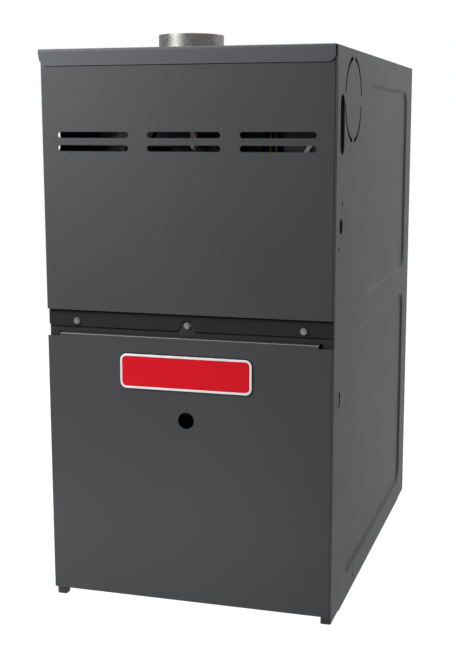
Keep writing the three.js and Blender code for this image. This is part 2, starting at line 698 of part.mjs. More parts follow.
// Burner compartment
function burnerBox() {
  const { front, bottom, top, half } = BURNER_BOX;
  const rear = VESTIBULE - GAP;
  const wall = SHEET;
  const flange = 8;
  const holes = TUBE.columns.map((x) => (
    prism(circle(x, TUBE.first, 19.9, 12), 'y', front - 1, front + 3)));
  return cut(
    join(
      box(-half, half, front, rear, bottom, top),
      box(-half, half, rear - wall, rear, bottom - flange, top + flange)),
    box(-half + wall, half - wall, front + wall, rear + 1, bottom + wall, top - wall),
    holes);
}

// In-shot burner: a venturi tube that widens into a flame head, drawn about its axis
function burner() {
  const { mouth, face, head, throat, wall } = BURNER;
  const outside = [
    [throat + 4, mouth], [throat, mouth + 24], [throat + 1, mouth + 40], [head, mouth + 62], [head, face]];
  const inside = outside.map(([radius, y]) => [radius - wall, y]).reverse();
  return revolve([...outside, ...inside], 'y', 10);
}

const RISER_TOP = VALVE.bottom - 7;

// Gas manifold: a pipe that bends up to the valve, with one orifice at each burner
function gasManifold() {
  const { y, radius, bend, riser, left } = MANIFOLD;
  const z = TUBE.first;
  const knots = [
    [left, z],
    ...arc(riser - bend, z + bend, bend, -90, 0, 4).map((at) => [at.x, at.y]),
    [riser, RISER_TOP - GAP],
  ].map(([x, height]) => new THREE.Vector3(x, y, height));
  const run = tube(new KnotPath(knots), knots.length - 1, radius, 8);
  const spuds = TUBE.columns.map((x) => revolve([
    [0, y + 6], [7, y + 6], [7, y + 19], [4, y + 20], [3, BURNER.mouth - GAP], [0, BURNER.mouth - GAP],
  ], 'y', 6).translate([x, 0, z]));
  const foot = BURNER_BOX.front - GAP - 0.8;
  const strap = foldedSheet([[y, z + 10.6], [foot, z + 10.6], [foot, z - 16]], 2.4, 1.6);
  const straps = [-90, 90].map((x) => prism(strap, 'x', x - 8, x + 8));
  return join(run, rod('x', radius + 2, left - 2, left + 12, 8).translate([0, y, z]), spuds, straps);
}

function gasValve() {
  const { left, right, front, rear, bottom, top } = VALVE;
  const body = prism(roundedRect(left, right, front, rear, 6, 2), 'z', bottom, top);
  const outlet = rod('z', 15, bottom - 7, bottom + 1, 8).translate([MANIFOLD.riser, MANIFOLD.y, 0]);
  const inlet = rod('x', 16, right - 1, 216, 8).translate([0, GAS_SLOT.y, GAS_SLOT.z]);
  const regulator = rod('z', 11, top - 1, top + 13, 12).translate([188, -285, 0]);
  const coil = prism(roundedRect(144, 174, -316, -280, 4, 2), 'z', top - 1, top + 20);
  const shelf = box(left + 6, right - 6, front - 4, front + 1, bottom + 6, bottom + 20);
  return cut(
    join(body, outlet, inlet, regulator, coil, shelf),
    rod('x', 10, 196, 220, 12).translate([0, GAS_SLOT.y, GAS_SLOT.z]));
}

// Valve knob with a grip across it, drawn about its axis at y = 0 on the valve face
function valveKnob() {
  const { radius, grip, depth } = KNOB;
  const dial = revolve([
    [0, -depth], [grip, -depth], [grip + 0.5, -6], [radius, -5], [radius, 0], [0, 0]], 'y', 14);
  return join(dial, box(-3, 3, -depth - 3, 1 - depth, -10, 10));
}

// Hot surface igniter and flame rod, each on the end wall of the burner box
function igniter() {
  const wall = -BURNER_BOX.half + SHEET + GAP;
  const block = box(wall, -162, -181, -163, 497, 513);
  return join(block, box(-163, -123, -160, -157, 502, 508), box(-166, -162, -166, -157, 500, 510));
}

function flameSensor() {
  const wall = BURNER_BOX.half - SHEET - GAP;
  const z = TUBE.first;
  return join(
    box(162, wall, -178, -166, 499, 511),
    rod('x', 4, 156, 164, 10).translate([0, -172, z]),
    box(156, 158, -172, -158, 504, 506),
    box(122, 158, -159.6, -157.6, 504, 506));
}

// Manual-reset roll-out switch: its button sits in a bore, drawn about its axis
const ROLLOUT = { x: 90, z: 537, bore: 3.4 };

function rolloutSwitch() {
  const face = BURNER_BOX.front - GAP;
  const plate = prism(roundedRect(-15, 15, -6, 6, 3, 2), 'y', face - 1.2, face);
  const can = rod('y', 8.5, face - 12.6, face - 1, 12);
  const bore = rod('y', ROLLOUT.bore, face - 14, face - 5, 8);
  return cut(join(plate, can), bore);
}

function rolloutButton() {
  const face = BURNER_BOX.front - GAP;
  return join(rod('y', 3, face - 17, face - 8, 8), rod('y', 2.4, face - 18, face - 16.9, 8));
}

function limitSwitch() {
  const face = VESTIBULE - GAP;
  const plate = prism(roundedRect(-22, 22, -12, 12, 4, 2), 'y', face - 1.4, face);
  const can = rod('y', 9, face - 12, face - 1, 12);
  const blades = [-5, 5].map((x) => box(x - 0.5, x + 0.5, face - 22, face - 11, -3, 3));
  return join(plate, can, blades);
}

function pressureSwitch() {
  const face = VESTIBULE - GAP;
  const { radius } = PRESSURE;
  const can = revolve([
    [0, face - 30], [10, face - 30], [12, face - 20], [radius - 2, face - 18], [radius, face - 15],
    [radius, face - 8], [radius - 6, face - 5], [radius - 6, face], [0, face]], 'y', 14);
  const barb = rod('z', 2.6, 20, 40, 8).translate([10, face - 12, 0]);
  return join(can, barb);
}

function pressureHose() {
  const start = PRESSURE.z + 40 + WIRE_GAP;
  const y = VESTIBULE - GAP - 12;
  const points = [
    [PRESSURE.x + 10, y, start], [PRESSURE.x + 10, y, start + 6],
    [-132, -178, 694], [-118, -213, 699], [-96, -233, 712], [-84, -243, 728],
    [-78, -246, 743], [-70, -247, 750], [-62.5 - WIRE_GAP, -247, 750]];
  return tube(smooth(points), 15, 3, 6);
}

const JUNCTION = { right: -161, front: -330, rear: -268, bottom: 555, top: 635 };

function junctionBox() {
  const { right, front, rear, bottom, top } = JUNCTION;
  const wall = 1.2;
  const left = -FIT;
  return cut(
    box(left, right, front, rear, bottom, top),
    box(left + wall, right + 1, front + wall, rear - wall, bottom + wall, top - wall),
    rod('x', CONDUIT.radius, left - 1, left + 4, 16).translate([0, CONDUIT.y, CONDUIT.z]));
}

function junctionCover() {
  const { right, front, rear, bottom, top } = JUNCTION;
  const face = right + GAP;
  return join(
    box(face, face + 1.2, front, rear, bottom, top),
    box(face - 0.2, face + 9, front + 2, front + 3.2, bottom + 8, top - 8));
}

// Blower, drawn about its shaft: the scroll opens upwards into the deck
const SCROLL_TOP = DECK - GAP - BLOWER.z;

function scrollCurve(offset) {
  const turns = spiral(BLOWER_SPIRAL, offset, 18);
  return [point(-80 - offset, SCROLL_TOP), ...turns, point(turns.at(-1).x, SCROLL_TOP)];
}

const blowerScroll = () => prism(ribbon(scrollCurve(0)), 'x', -BLOWER.half, BLOWER.half);

// Side plate with a bell-mouth inlet turned in towards the wheel
function blowerSide() {
  const inner = BLOWER.half + GAP;
  const outer = inner + SHEET;
  const bell = revolve([
    [114, inner], [114, outer], [104, outer - 1.4], [100.4, outer - 6.6],
    [101.6, outer - 6.9], [104.8, outer - 2.6]], 'x', 22);
  const plate = prism(scrollCurve(1.6), 'x', inner, outer, [circle(0, 0, 112.4, 22)]);
  const flange = box(outer - SHEET, outer + 20, -80, 204, SCROLL_TOP - SHEET, SCROLL_TOP);
  return join(plate, bell, flange);
}

// Squirrel-cage wheel: forward-curved blades between two rings and a centre disc
function blowerWheel() {
  const { blades, inner, outer, half, ring } = WHEEL;
  const middle = (inner + outer) / 2;
  const bladePoint = (radius, angle) => {
    const turn = degrees(angle);
    return point(radius * Math.cos(turn), radius * Math.sin(turn));
  };
  const blade = () => prism(
    ribbon([bladePoint(inner, 0), bladePoint(middle, 1.2), bladePoint(outer, 5.6)], 1.1),
    'x', 1.5 - half, half - 1.5);
  const rings = [-half, half - 3].map((x) => pipe('x', inner - 1, ring, x, x + 3, 26));
  const disc = rod('x', middle, -1, 1, 26);
  const hub = rod('x', 18, -22, 22, 12);
  return cut(
    join(disc, hub, rings, around([1, 0, 0], blades, blade)),
    rod('x', SHAFT + 0.5, -half, half, 10));
}

const MOTOR = { radius: 70, from: 46, to: 136 };

function blowerMotor() {
  const { radius, from, to } = MOTOR;
  const bore = SHAFT + 0.6;
  return revolve([
    [bore, from - 6], [18, from - 6], [20, from], [54, from], [radius, from + 9],
    [radius, to - 9], [54, to], [bore, to]], 'x', 18);
}

function motorMount() {
  const outer = BLOWER.half + GAP + SHEET + GAP;
  const band = pipe('x', MOTOR.radius + GAP, MOTOR.radius + 2, 98, 124, 18);
  const arm = () => join(
    box(outer + 2, outer + 5, -9, 9, 71, 138),
    box(outer, outer + 5, -9, 9, 118, 138));
  return join(band, around([1, 0, 0], 3, arm));
}

function runCapacitor() {
  const face = BLOWER.half + GAP + SHEET + GAP;
  const can = prism(roundedRect(face, face + 42, 112, 182, 20, 3), 'z', 92, 172);
  const rim = prism(roundedRect(face + 0.4, face + 41.6, 112.4, 181.6, 19, 3), 'z', 171, 175);
  const blades = [130, 164].map((y) => box(face + 18, face + 24, y - 0.5, y + 0.5, 174, 184));
  return join(can, rim, blades);
}

// Controls hang from the deck in front of the blower
const BRACKET = { y: -170, left: -170, right: 90, bottom: 236 };

function controlBracket() {
  const { y, left, right, bottom } = BRACKET;
  const high = DECK - GAP - SHEET / 2;
  const section = foldedSheet([[-150, high], [y, high], [y, bottom], [-158, bottom]]);
  return prism(section, 'x', left, right);
}

function controlBoard() {
  const mount = BRACKET.y - SHEET / 2 - GAP;
  const face = -183;
  const relay = (x, z) => box(x, x + 22, face - 17, face + 0.5, z, z + 28);
  const posts = [[-112, 270], [52, 270], [-112, 354], [52, 354]].map(([x, z]) => (
    rod('y', 3, face, mount, 6).translate([x, 0, z])));
  return join(
    box(-120, 60, face, face + 1.6, 262, 362), posts,
    relay(-60, 322), relay(-32, 322), relay(20, 322),
    box(-118, -92, face - 14, face + 0.5, 300, 350),
    box(-80, 40, face - 10, face + 0.5, 266, 278),
    rod('y', 2.5, face - 7, face + 0.5, 10).translate([0, 0, SIGHT_HOLE.z]));
}

function transformer() {
  const rear = BRACKET.y - SHEET / 2 - GAP;
  return join(
    box(-160, -104, rear - 34, rear - 10, 384, 432),
    box(-148, -116, rear - 48, rear - 1, 392, 424),
    box(-166, -98, rear - 1.6, rear, 388, 428),
    box(-162, -158, rear - 30, rear - 1, 390, 426),
    box(-106, -102, rear - 30, rear - 1, 390, 426));
}

function doorSwitchBody() {
  const { x, z, face } = DOOR_SWITCH;
  const high = DECK - GAP;
  const section = foldedSheet([
    [face + 30, high - SHEET / 2], [face + 8, high - SHEET / 2], [face + 8, z + 10]]);
  return cut(
    join(
      box(x - 12, x + 12, face, face + 28, z - 13, z + 13),
      prism(section, 'x', x - 16, x + 16)),
    rod('y', 4, face - 1, face + 22, 12).translate([x, 0, z]));
}

const plungerRod = () => join(rod('y', 3.6, -6.5, 12, 12), rod('y', 2.8, -6.9, 0, 12));

// Wires run from the burner compartment through the deck to the control board
const wire = (points, steps = 24) => tube(smooth(points), steps, 1.4, 5);
const boardEdge = -118 - WIRE_GAP; // the wires end at the left side of the terminal strip

const yellowWire = (shift, [throughX, throughY], end) => wire([
  [VALVE.left - WIRE_GAP, -313 + shift, 752 - shift], [134, -313 + shift, 752 - shift],
  [125 + shift, -331, 740], [125 + shift, -335, 715], [125 + shift, -335, 690],
  [116 + shift, -334, 650], [80, -332, 618 - shift], [0, -330, 606 - shift],
  [-90, -320, 580 - shift], [-146 + shift, -292, 540], [throughX + 6, throughY - 12, 495],
  [throughX, throughY, 462], [throughX, throughY, 440], [throughX + shift, throughY + 14, 400],
  [-168 + 1.5 * shift, throughY + 38, 360 - 1.5 * shift],
  [-148 + shift / 2, -194, end + 3], [boardEdge, -190, end]]);

const redWire = () => wire([
  [-6.5 - WIRE_GAP, -300, 758], [-14, -304, 760], [-8, -330, 764], [8, -342, 752],
  [16, -344, 724], [16, -344, 704], [6, -340, 684], [-24, -326, 672], [-70, -290, 680],
  [-110, -250, 694], [-148, -222, 706], [-198, -220, 705], [-208, -222, 680], [-206, -236, 600],
  [-190, -238, 500], [-182, -241, 462], [-182, -241, 440], [-184, -232, 395],
  [-174, -210, 345], [-146, -194, 320], [boardEdge, -190, 318]], 32);

const wireLoom = () => tube(smooth([
  [-195, -285, JUNCTION.bottom - WIRE_GAP], [-195, -283, 535], [-193, -268, 500],
  [-189.5, -254, 470], [-189.5, -253, 445], [-196, -246, 426], [-199, -228, 414],
  [-188, -210, 408], [-166 - WIRE_GAP, -204, 408]]), 16, 4.5, 6);

// Assembly
const cabinet = group(furnace);
part(cabinet, 'casing_wrap', casingWrap(), 'wrap');
part(cabinet, 'top_panel', topPanel(), 'painted');
part(cabinet, 'flue_collar', flueCollar(), 'galvanised', FLUE.x, FLUE.y);
part(cabinet, 'blower_deck', blowerDeck(), 'painted');
part(cabinet, 'deck_rail', deckRail(), 'painted');
part(cabinet, 'base_pan', basePan(), 'galvanised');
part(cabinet, 'vestibule_panel', vestibulePanel(), 'galvanised');

const { left: screwLeft, middle: screwMiddle, right: screwRight } = DECK_SCREWS;
const onRail = RAIL.face - 0.3;
const onDeck = FRAME_FACE - GAP - SHEET - 0.3;
part(cabinet, 'deck_screw_left', washerScrew(), 'steel', screwLeft, onRail, DECK_SCREWS.z);
part(cabinet, 'deck_screw_middle', washerScrew(), 'steel', screwMiddle, onDeck, DECK_SCREWS.z);
part(cabinet, 'deck_screw_right', washerScrew(), 'steel', screwRight, onRail, DECK_SCREWS.z);

const doors = group(furnace);
part(doors, 'upper_door', upperDoor(), 'painted');
part(doors, 'lower_door', lowerDoor(), 'painted');
part(doors, 'name_plate', namePlate(), 'badge');

const exchanger = group(furnace);
TUBE.columns.forEach((x, i) => {
  part(exchanger, `heat_exchanger_tube_${i + 1}`, exchangerTube(), 'galvanised', x);
});
part(exchanger, 'tube_support', tubeSupport(), 'galvanised');
part(exchanger, 'collector_box', collectorBox(), 'galvanised');

const inducer = group(furnace, INDUCER.x, INDUCER.y, INDUCER.z);
part(inducer, 'inducer_housing', inducerHousing(), 'castGrey');
part(inducer, 'inducer_wheel', inducerWheel(), 'galvanised');
part(inducer, 'inducer_shaft', rod('y', 4, -100.8, -5, 8), 'steel');
part(inducer, 'inducer_motor', inducerMotor(), 'dark');
part(inducer, 'inducer_cooling_fan', coolingFan(), 'black');

const burners = group(furnace);
part(burners, 'burner_box', burnerBox(), 'galvanised');
TUBE.columns.forEach((x, i) => {
  part(burners, `burner_${i + 1}`, burner(), 'steel', x, 0, TUBE.first);
});
part(burners, 'gas_manifold', gasManifold(), 'dark');
part(burners, 'gas_valve_body', gasValve(), 'castGrey');
part(burners, 'gas_valve_knob', valveKnob(), 'black', KNOB.x, VALVE.front - GAP, KNOB.z);
part(burners, 'igniter', igniter(), 'ceramic');
part(burners, 'flame_sensor', flameSensor(), 'ceramic');
[['left', -ROLLOUT.x], ['right', ROLLOUT.x]].forEach(([side, x]) => {
  part(burners, `rollout_switch_${side}`, rolloutSwitch(), 'black', x, 0, ROLLOUT.z);
  part(burners, `rollout_button_${side}`, rolloutButton(), 'red', x, 0, ROLLOUT.z);
});
part(burners, 'limit_switch', limitSwitch(), 'steel', LIMIT.x, 0, LIMIT.z);
part(burners, 'pressure_switch', pressureSwitch(), 'black', PRESSURE.x, 0, PRESSURE.z);
part(burners, 'pressure_hose', pressureHose(), 'black');
part(burners, 'junction_box', junctionBox(), 'galvanised');
part(burners, 'junction_box_cover', junctionCover(), 'galvanised');

const blower = group(furnace, BLOWER.x, BLOWER.y, BLOWER.z);
part(blower, 'blower_scroll', blowerScroll(), 'galvanised');
part(blower, 'blower_side_right', blowerSide(), 'galvanised');
part(blower, 'blower_side_left', blowerSide().mirror([1, 0, 0]), 'galvanised');
part(blower, 'blower_wheel', blowerWheel(), 'galvanised');
part(blower, 'blower_shaft', rod('x', SHAFT, -26, MOTOR.to + 4, 12), 'steel');
part(blower, 'blower_motor', blowerMotor(), 'dark');
part(blower, 'motor_mount', motorMount(), 'steel');
part(blower, 'run_capacitor', runCapacitor(), 'steel');

const controls = group(furnace);
part(controls, 'control_bracket', controlBracket(), 'galvanised');
part(controls, 'control_board', controlBoard(), 'board');
part(controls, 'transformer', transformer(), 'dark');
part(controls, 'door_switch_body', doorSwitchBody(), 'black');
part(
  controls, 'door_switch_plunger', plungerRod(), 'red',
  DOOR_SWITCH.x, DOOR_SWITCH.face, DOOR_SWITCH.z);
part(controls, 'wire_yellow_1', yellowWire(0, [-178, -256], 342), 'yellow');
part(controls, 'wire_yellow_2', yellowWire(8, [-175, -249], 332), 'yellow');
part(controls, 'wire_red', redWire(), 'red');
part(controls, 'wire_loom', wireLoom(), 'black');

export default furnace;
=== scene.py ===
import json
import math
import bmesh
import bpy
import numpy as np
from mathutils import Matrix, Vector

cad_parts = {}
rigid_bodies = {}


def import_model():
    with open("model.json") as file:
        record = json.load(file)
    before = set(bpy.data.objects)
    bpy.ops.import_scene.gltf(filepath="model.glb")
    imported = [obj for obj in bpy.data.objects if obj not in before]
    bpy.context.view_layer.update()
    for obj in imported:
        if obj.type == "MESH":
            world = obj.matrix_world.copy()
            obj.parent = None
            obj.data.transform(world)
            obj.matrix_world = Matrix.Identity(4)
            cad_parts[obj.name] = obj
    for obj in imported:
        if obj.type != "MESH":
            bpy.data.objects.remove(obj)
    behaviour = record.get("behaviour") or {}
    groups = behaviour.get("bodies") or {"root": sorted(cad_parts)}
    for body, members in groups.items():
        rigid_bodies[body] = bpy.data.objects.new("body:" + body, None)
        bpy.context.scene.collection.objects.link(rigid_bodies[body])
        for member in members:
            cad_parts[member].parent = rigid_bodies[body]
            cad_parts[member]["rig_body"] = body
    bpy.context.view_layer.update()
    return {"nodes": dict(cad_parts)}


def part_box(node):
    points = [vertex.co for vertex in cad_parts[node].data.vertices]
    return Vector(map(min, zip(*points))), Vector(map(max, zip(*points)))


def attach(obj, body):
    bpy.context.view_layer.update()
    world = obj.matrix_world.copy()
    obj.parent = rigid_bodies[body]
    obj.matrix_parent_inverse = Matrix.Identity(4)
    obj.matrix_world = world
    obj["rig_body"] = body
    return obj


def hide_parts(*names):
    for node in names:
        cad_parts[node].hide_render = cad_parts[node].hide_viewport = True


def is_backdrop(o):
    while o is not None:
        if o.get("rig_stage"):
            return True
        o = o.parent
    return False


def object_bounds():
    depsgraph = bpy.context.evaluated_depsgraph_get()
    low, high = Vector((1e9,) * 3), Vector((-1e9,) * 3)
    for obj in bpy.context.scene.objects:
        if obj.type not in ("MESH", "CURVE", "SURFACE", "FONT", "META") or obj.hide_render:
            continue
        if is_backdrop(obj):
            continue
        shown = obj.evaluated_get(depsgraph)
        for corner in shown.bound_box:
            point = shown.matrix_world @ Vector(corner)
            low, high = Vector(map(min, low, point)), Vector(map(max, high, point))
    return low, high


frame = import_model()
print("frame loaded,", len(frame["nodes"]), "parts")

mm = 0.001


# Shader maths: a number that varies over a surface. Arithmetic on it adds the Math nodes.
class Value:
    def __init__(self, shader, socket):
        self.shader = shader
        self.socket = socket

    def math(self, operation, *operands):
        return self.shader.node("ShaderNodeMath", {"operation": operation}, dict(enumerate(operands)))

    def __add__(self, other):
        return self.math("ADD", self, other)

    def __radd__(self, other):
        return self.math("ADD", other, self)

    def __sub__(self, other):
        return self.math("SUBTRACT", self, other)

    def __mul__(self, other):
        return self.math("MULTIPLY", self, other)

    def size(self):
        return self.math("ABSOLUTE", self)

    # 0 below low, 1 above high and a soft step between them
    def step(self, low, high):
        sockets = {"Value": self, "From Min": low, "From Max": high}
        return self.shader.node("ShaderNodeMapRange", {"interpolation_type": "SMOOTHSTEP"}, sockets)


# The nodes of one material. Every pattern reads the piece's own Object coordinates, in metres.
class Shader:
    def __init__(self, name):
        self.material = bpy.data.materials.new(name)
        self.material.use_nodes = True
        self.tree = self.material.node_tree
        self.tree.nodes.clear()
        self.place = self.node("ShaderNodeTexCoord", output="Object")

    # One node: its type, its settings, then the values or links of its sockets
    def node(self, kind, settings=None, sockets=None, output=0):
        made = self.tree.nodes.new(kind)
        for key, value in (settings or {}).items():
            setattr(made, key, value)
        for key, value in (sockets or {}).items():
            if isinstance(value, Value):
                self.tree.links.new(value.socket, made.inputs[key])
            else:
                made.inputs[key].default_value = value
        return Value(self, made.outputs[output])

    def noise(self, scale, detail=2.0, stretch=(1, 1, 1)):
        at = self.node("ShaderNodeMapping", {}, {"Vector": self.place, "Scale": stretch})
        return self.node("ShaderNodeTexNoise", {}, {"Vector": at, "Scale": scale, "Detail": detail})

    # One random number for each crystal of a broken-up cell pattern
    def crystals(self, scale, wander):
        wave = {"Vector": self.place, "Scale": scale, "Detail": 3}
        bent = self.node("ShaderNodeTexNoise", {}, wave, "Color")
        shift = self.node("ShaderNodeVectorMath", {"operation": "SCALE"}, {0: bent, "Scale": wander})
        at = self.node("ShaderNodeVectorMath", {"operation": "ADD"}, {0: self.place, 1: shift})
        cell = self.node("ShaderNodeTexVoronoi", {}, {"Vector": at, "Scale": scale}, "Color")
        return self.node("ShaderNodeSeparateColor", {}, {"Color": cell})

    def mix(self, factor, first, second):
        return self.node("ShaderNodeMix", {"data_type": "RGBA"}, {0: factor, 6: first, 7: second}, 2)

    def bump(self, height, depth):
        return self.node("ShaderNodeBump", {}, {"Height": height, "Distance": depth, "Strength": 1.0})

    def surface(self, sockets):
        self.end(self.node("ShaderNodeBsdfPrincipled", {}, sockets))
        return self.material

    def end(self, shell):
        output = self.tree.nodes.new("ShaderNodeOutputMaterial")
        self.tree.links.new(shell.socket, output.inputs["Surface"])


# A colour written as it is seen on screen, made linear
def colour(code, gain=1.0):
    shown = np.array([int(code[i:i + 2], 16) for i in (0, 2, 4)]) / 255
    linear = np.where(shown <= 0.04045, shown / 12.92, ((shown + 0.055) / 1.055) ** 2.4)
    return (*np.clip(linear * gain, 0, 1), 1.0)


# lid is the door's grey made lighter: painted light on the top panel and its lip. crest is a light grey: a
# painted highlight on the lower door's rolled top edge.
paints = dict(
    door="48494b", casing="484c4a", deck="242527", shelf="333436", lid="5d5f63", crest="9a9c9e",
    roughness=0.55, spread=0.06, grain=0.00004, shine=0.12)


# Baked powder coat: a slow drift of tone, a fine grain and a soft orange peel
def powderCoat(name, shade):
    s = Shader(name)
    drift = s.noise(3.2, 3)
    grain = s.noise(1500, 2)
    peel = s.noise(380, 1)
    handled = s.noise(22, 5)
    tone = drift * 0.6 + grain * 0.4
    spread = paints["spread"]
    base = s.mix(tone.step(0.3, 0.7), colour(shade, 1 - spread), colour(shade, 1 + spread))
    rough = paints["roughness"] + (handled - 0.5) * 0.1 + (grain - 0.5) * 0.08
    return s.surface({
        "Base Color": base, "Roughness": rough, "Specular IOR Level": paints["shine"],
        "Normal": s.bump(peel + grain * 0.3, paints["grain"])})


# Hot-dip zinc: crystals that each turn the light their own way
def zincCoat(name, shade, size=0.008, contrast=0.16, roughness=0.36):
    s = Shader(name)
    flake = s.crystals(1 / size, size * 0.5)
    fine = s.noise(900, 3)
    cloud = s.noise(9, 3)
    base = s.mix(flake * 0.7 + cloud * 0.3, colour(shade, 1 - contrast), colour(shade, 1 + contrast))
    rough = roughness + (flake - 0.5) * 0.18 + (fine - 0.5) * 0.08
    return s.surface({
        "Base Color": base, "Metallic": 1.0, "Roughness": rough,
        "Normal": s.bump(fine * 0.5 + flake, 0.00003)})


# Rolled or turned metal: fine lines along one direction and a cloudy sheen
def drawnMetal(name, shade, along=(1, 1, 1), roughness=0.3, contrast=0.1, metallic=1.0):
    s = Shader(name)
    lines = s.noise(260, 4, along)
    cloud = s.noise(14, 3)
    speck = s.noise(1200, 2)
    base = s.mix(lines * 0.6 + cloud * 0.4, colour(shade, 1 - contrast), colour(shade, 1 + contrast))
    rough = roughness + (cloud - 0.5) * 0.16 + (lines - 0.5) * 0.1
    return s.surface({
        "Base Color": base, "Metallic": metallic, "Roughness": rough,
        "Normal": s.bump(lines + speck * 0.5, 0.00002)})


# Sand or die castings: a pebbled skin with darker pits
def castMetal(name, shade, roughness=0.5, metallic=0.85):
    s = Shader(name)
    pebble = s.noise(520, 4)
    cloud = s.noise(18, 3)
    base = s.mix(pebble * 0.5 + cloud * 0.5, colour(shade, 0.8), colour(shade, 1.15))
    rough = roughness + (pebble - 0.5) * 0.2
    return s.surface({
        "Base Color": base, "Metallic": metallic, "Roughness": rough, "Normal": s.bump(pebble, 0.00012)})


# Moulded plastic, rubber and glazed or fired clay: a faint mottle under a satin skin
def moulded(name, shade, roughness=0.42, grain=0.00003, coat=0.0, spread=0.08, shine=0.5):
    s = Shader(name)
    skin = s.noise(1300, 3)
    mottle = s.noise(40, 3)
    base = s.mix(mottle * 0.7 + skin * 0.3, colour(shade, 1 - spread), colour(shade, 1 + spread))
    rough = roughness + (mottle - 0.5) * 0.1 + (skin - 0.5) * 0.06
    return s.surface({
        "Base Color": base, "Roughness": rough, "Coat Weight": coat, "Specular IOR Level": shine,
        "Normal": s.bump(skin, grain)})


# Circuit board: copper runs under a green varnish, both ways along the board
def boardVarnish(name, shade, track):
    s = Shader(name)
    wide = s.noise(70, 0, (1, 1, 6))
    tall = s.noise(70, 0, (6, 1, 1))
    runs = (wide - 0.5).size().step(0.03, 0.02) * 0.6 + (tall - 0.5).size().step(0.03, 0.02) * 0.4
    weave = s.noise(800, 2)
    base = s.mix(runs, colour(shade), colour(track))
    return s.surface({
        "Base Color": base, "Roughness": 0.34 + (weave - 0.5) * 0.1,
        "Normal": s.bump(runs + weave * 0.2, 0.00004)})


# Wound enamelled wire: fine turns side by side
def woundWire(name, shade, across):
    s = Shader(name)
    turns = s.node("ShaderNodeTexWave", {"bands_direction": across}, {
        "Vector": s.place, "Scale": 210.0, "Distortion": 0.6, "Detail": 1.0})
    cloud = s.noise(60, 3)
    base = s.mix(turns * 0.7 + cloud * 0.3, colour(shade, 0.55), colour(shade, 1.2))
    return s.surface({
        "Base Color": base, "Metallic": 0.7, "Roughness": 0.32 + (cloud - 0.5) * 0.1,
        "Normal": s.bump(turns, 0.0002)})


doorPaint = powderCoat("doorPaint", paints["door"])
casingPaint = powderCoat("casingPaint", paints["casing"])
deckPaint = powderCoat("deckPaint", paints["deck"])
# Lighter copy of the door paint: painted light on the top panel
litLidPaint = powderCoat("litLidPaint", paints["lid"])
shelfPaint = powderCoat("shelfPaint", paints["shelf"])
# Light grey paint: a painted highlight on the lower door's rolled top edge
crestHighlightPaint = powderCoat("crestHighlightPaint", paints["crest"])
zinc = zincCoat("galvanisedSheet", "c4c7c8")
collarZinc = zincCoat("collarZinc", "656461", size=0.0014, contrast=0.5, roughness=0.38)
aluminised = zincCoat("aluminisedSteel", "8c8d8b", size=0.0025, contrast=0.1, roughness=0.5)
# A darker copy of the aluminised steel: painted shade on the collector box deep in the cabinet
shadedAluminised = zincCoat("shadedAluminisedSteel", "565855", size=0.0025, contrast=0.12, roughness=0.6)
screwZinc = drawnMetal("platedScrew", "7f8183", roughness=0.36)
shaftSteel = drawnMetal("groundShaft", "a8abad", (0.1, 8, 8), 0.22)
motorPaint = castMetal("motorEnamel", "2e3033", 0.42, 0.2)
laminations = drawnMetal("laminatedIron", "6d6f72", (1, 14, 1), 0.42, 0.3)
blackPipe = castMetal("blackIronPipe", "26272a", 0.44, 0.35)
housingPaint = castMetal("inducerEnamel", "505254", 0.6, 0.1)
valvePaint = castMetal("valveEnamel", "1a1b1d", 0.7, 0.0)
brass = drawnMetal("turnedBrass", "c2a052", roughness=0.28)
copper = woundWire("copperWinding", "b4622e", "X")
blackPlastic = moulded("blackPlastic", "1d1e20", 0.5, shine=0.12)
whitePlastic = moulded("whiteNylon", "d9d8d0", 0.45)
bluePlastic = moulded("blueRelay", "27548c", 0.4)
redPlastic = moulded("redPlastic", "b0211d", 0.36, coat=0.2)
fireclay = moulded("firedCeramic", "ded9cb", 0.7, 0.00012)
carbide = moulded("siliconCarbide", "5d5f60", 0.6, 0.0001)
# Black rubber; the same black, as painted shade, fills the seams, the knock-out lines and the outline round
# the badge
rubberAndShade = moulded("blackRubberAndShade", "141516", 0.85, 0.00006, shine=0)
green = boardVarnish("greenBoard", "1f5a35", "3c8a50")
yellowJacket = moulded("yellowJacket", "7d680e", 0.5, shine=0.15)
redJacket = moulded("redJacket", "761410", 0.5, shine=0.15)
badgeRed = moulded("badgeEnamel", "de1224", 0.4, 0.00001, spread=0.03, shine=0.15)
badgeWhite = moulded("badgeRim", "f4f4f6", 0.4, 0.00001, spread=0.02)
print("finishes made,", len(bpy.data.materials))


# Box of a CAD part, in millimetres
def boxOf(node):
    low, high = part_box(node)
    return np.array(low) / mm, np.array(high) / mm


# A drawing (u, v) at height w becomes points: u, v are y, z along x, x, z along y and x, y along z
def place(u, v, w, axis):
    u, v, w = np.broadcast_arrays(u, v, w)
    return np.stack({"x": (w, u, v), "y": (u, w, v), "z": (u, v, w)}[axis], axis=-1)


# Points round a centre: x = cx + r cos a, y = cy + r sin a
def arc(cx, cy, radius, start, end, steps):
    angle = np.radians(np.linspace(start, end, steps + 1))
    return np.stack([cx + radius * np.cos(angle), cy + radius * np.sin(angle)], axis=1)


def circle(cx, cy, radius, sides=48):
    return arc(cx, cy, radius, 0, 360 - 360 / sides, sides - 1)


def roundedRect(x0, x1, y0, y1, radius, steps=8):
    corners = [(x1, y0, -1, 1, -90), (x1, y1, -1, -1, 0), (x0, y1, 1, -1, 90), (x0, y0, 1, 1, 180)]
    return np.vstack([
        arc(x + right * radius, y + up * radius, radius, start, start + 90, steps)
        for x, y, right, up, start in corners])


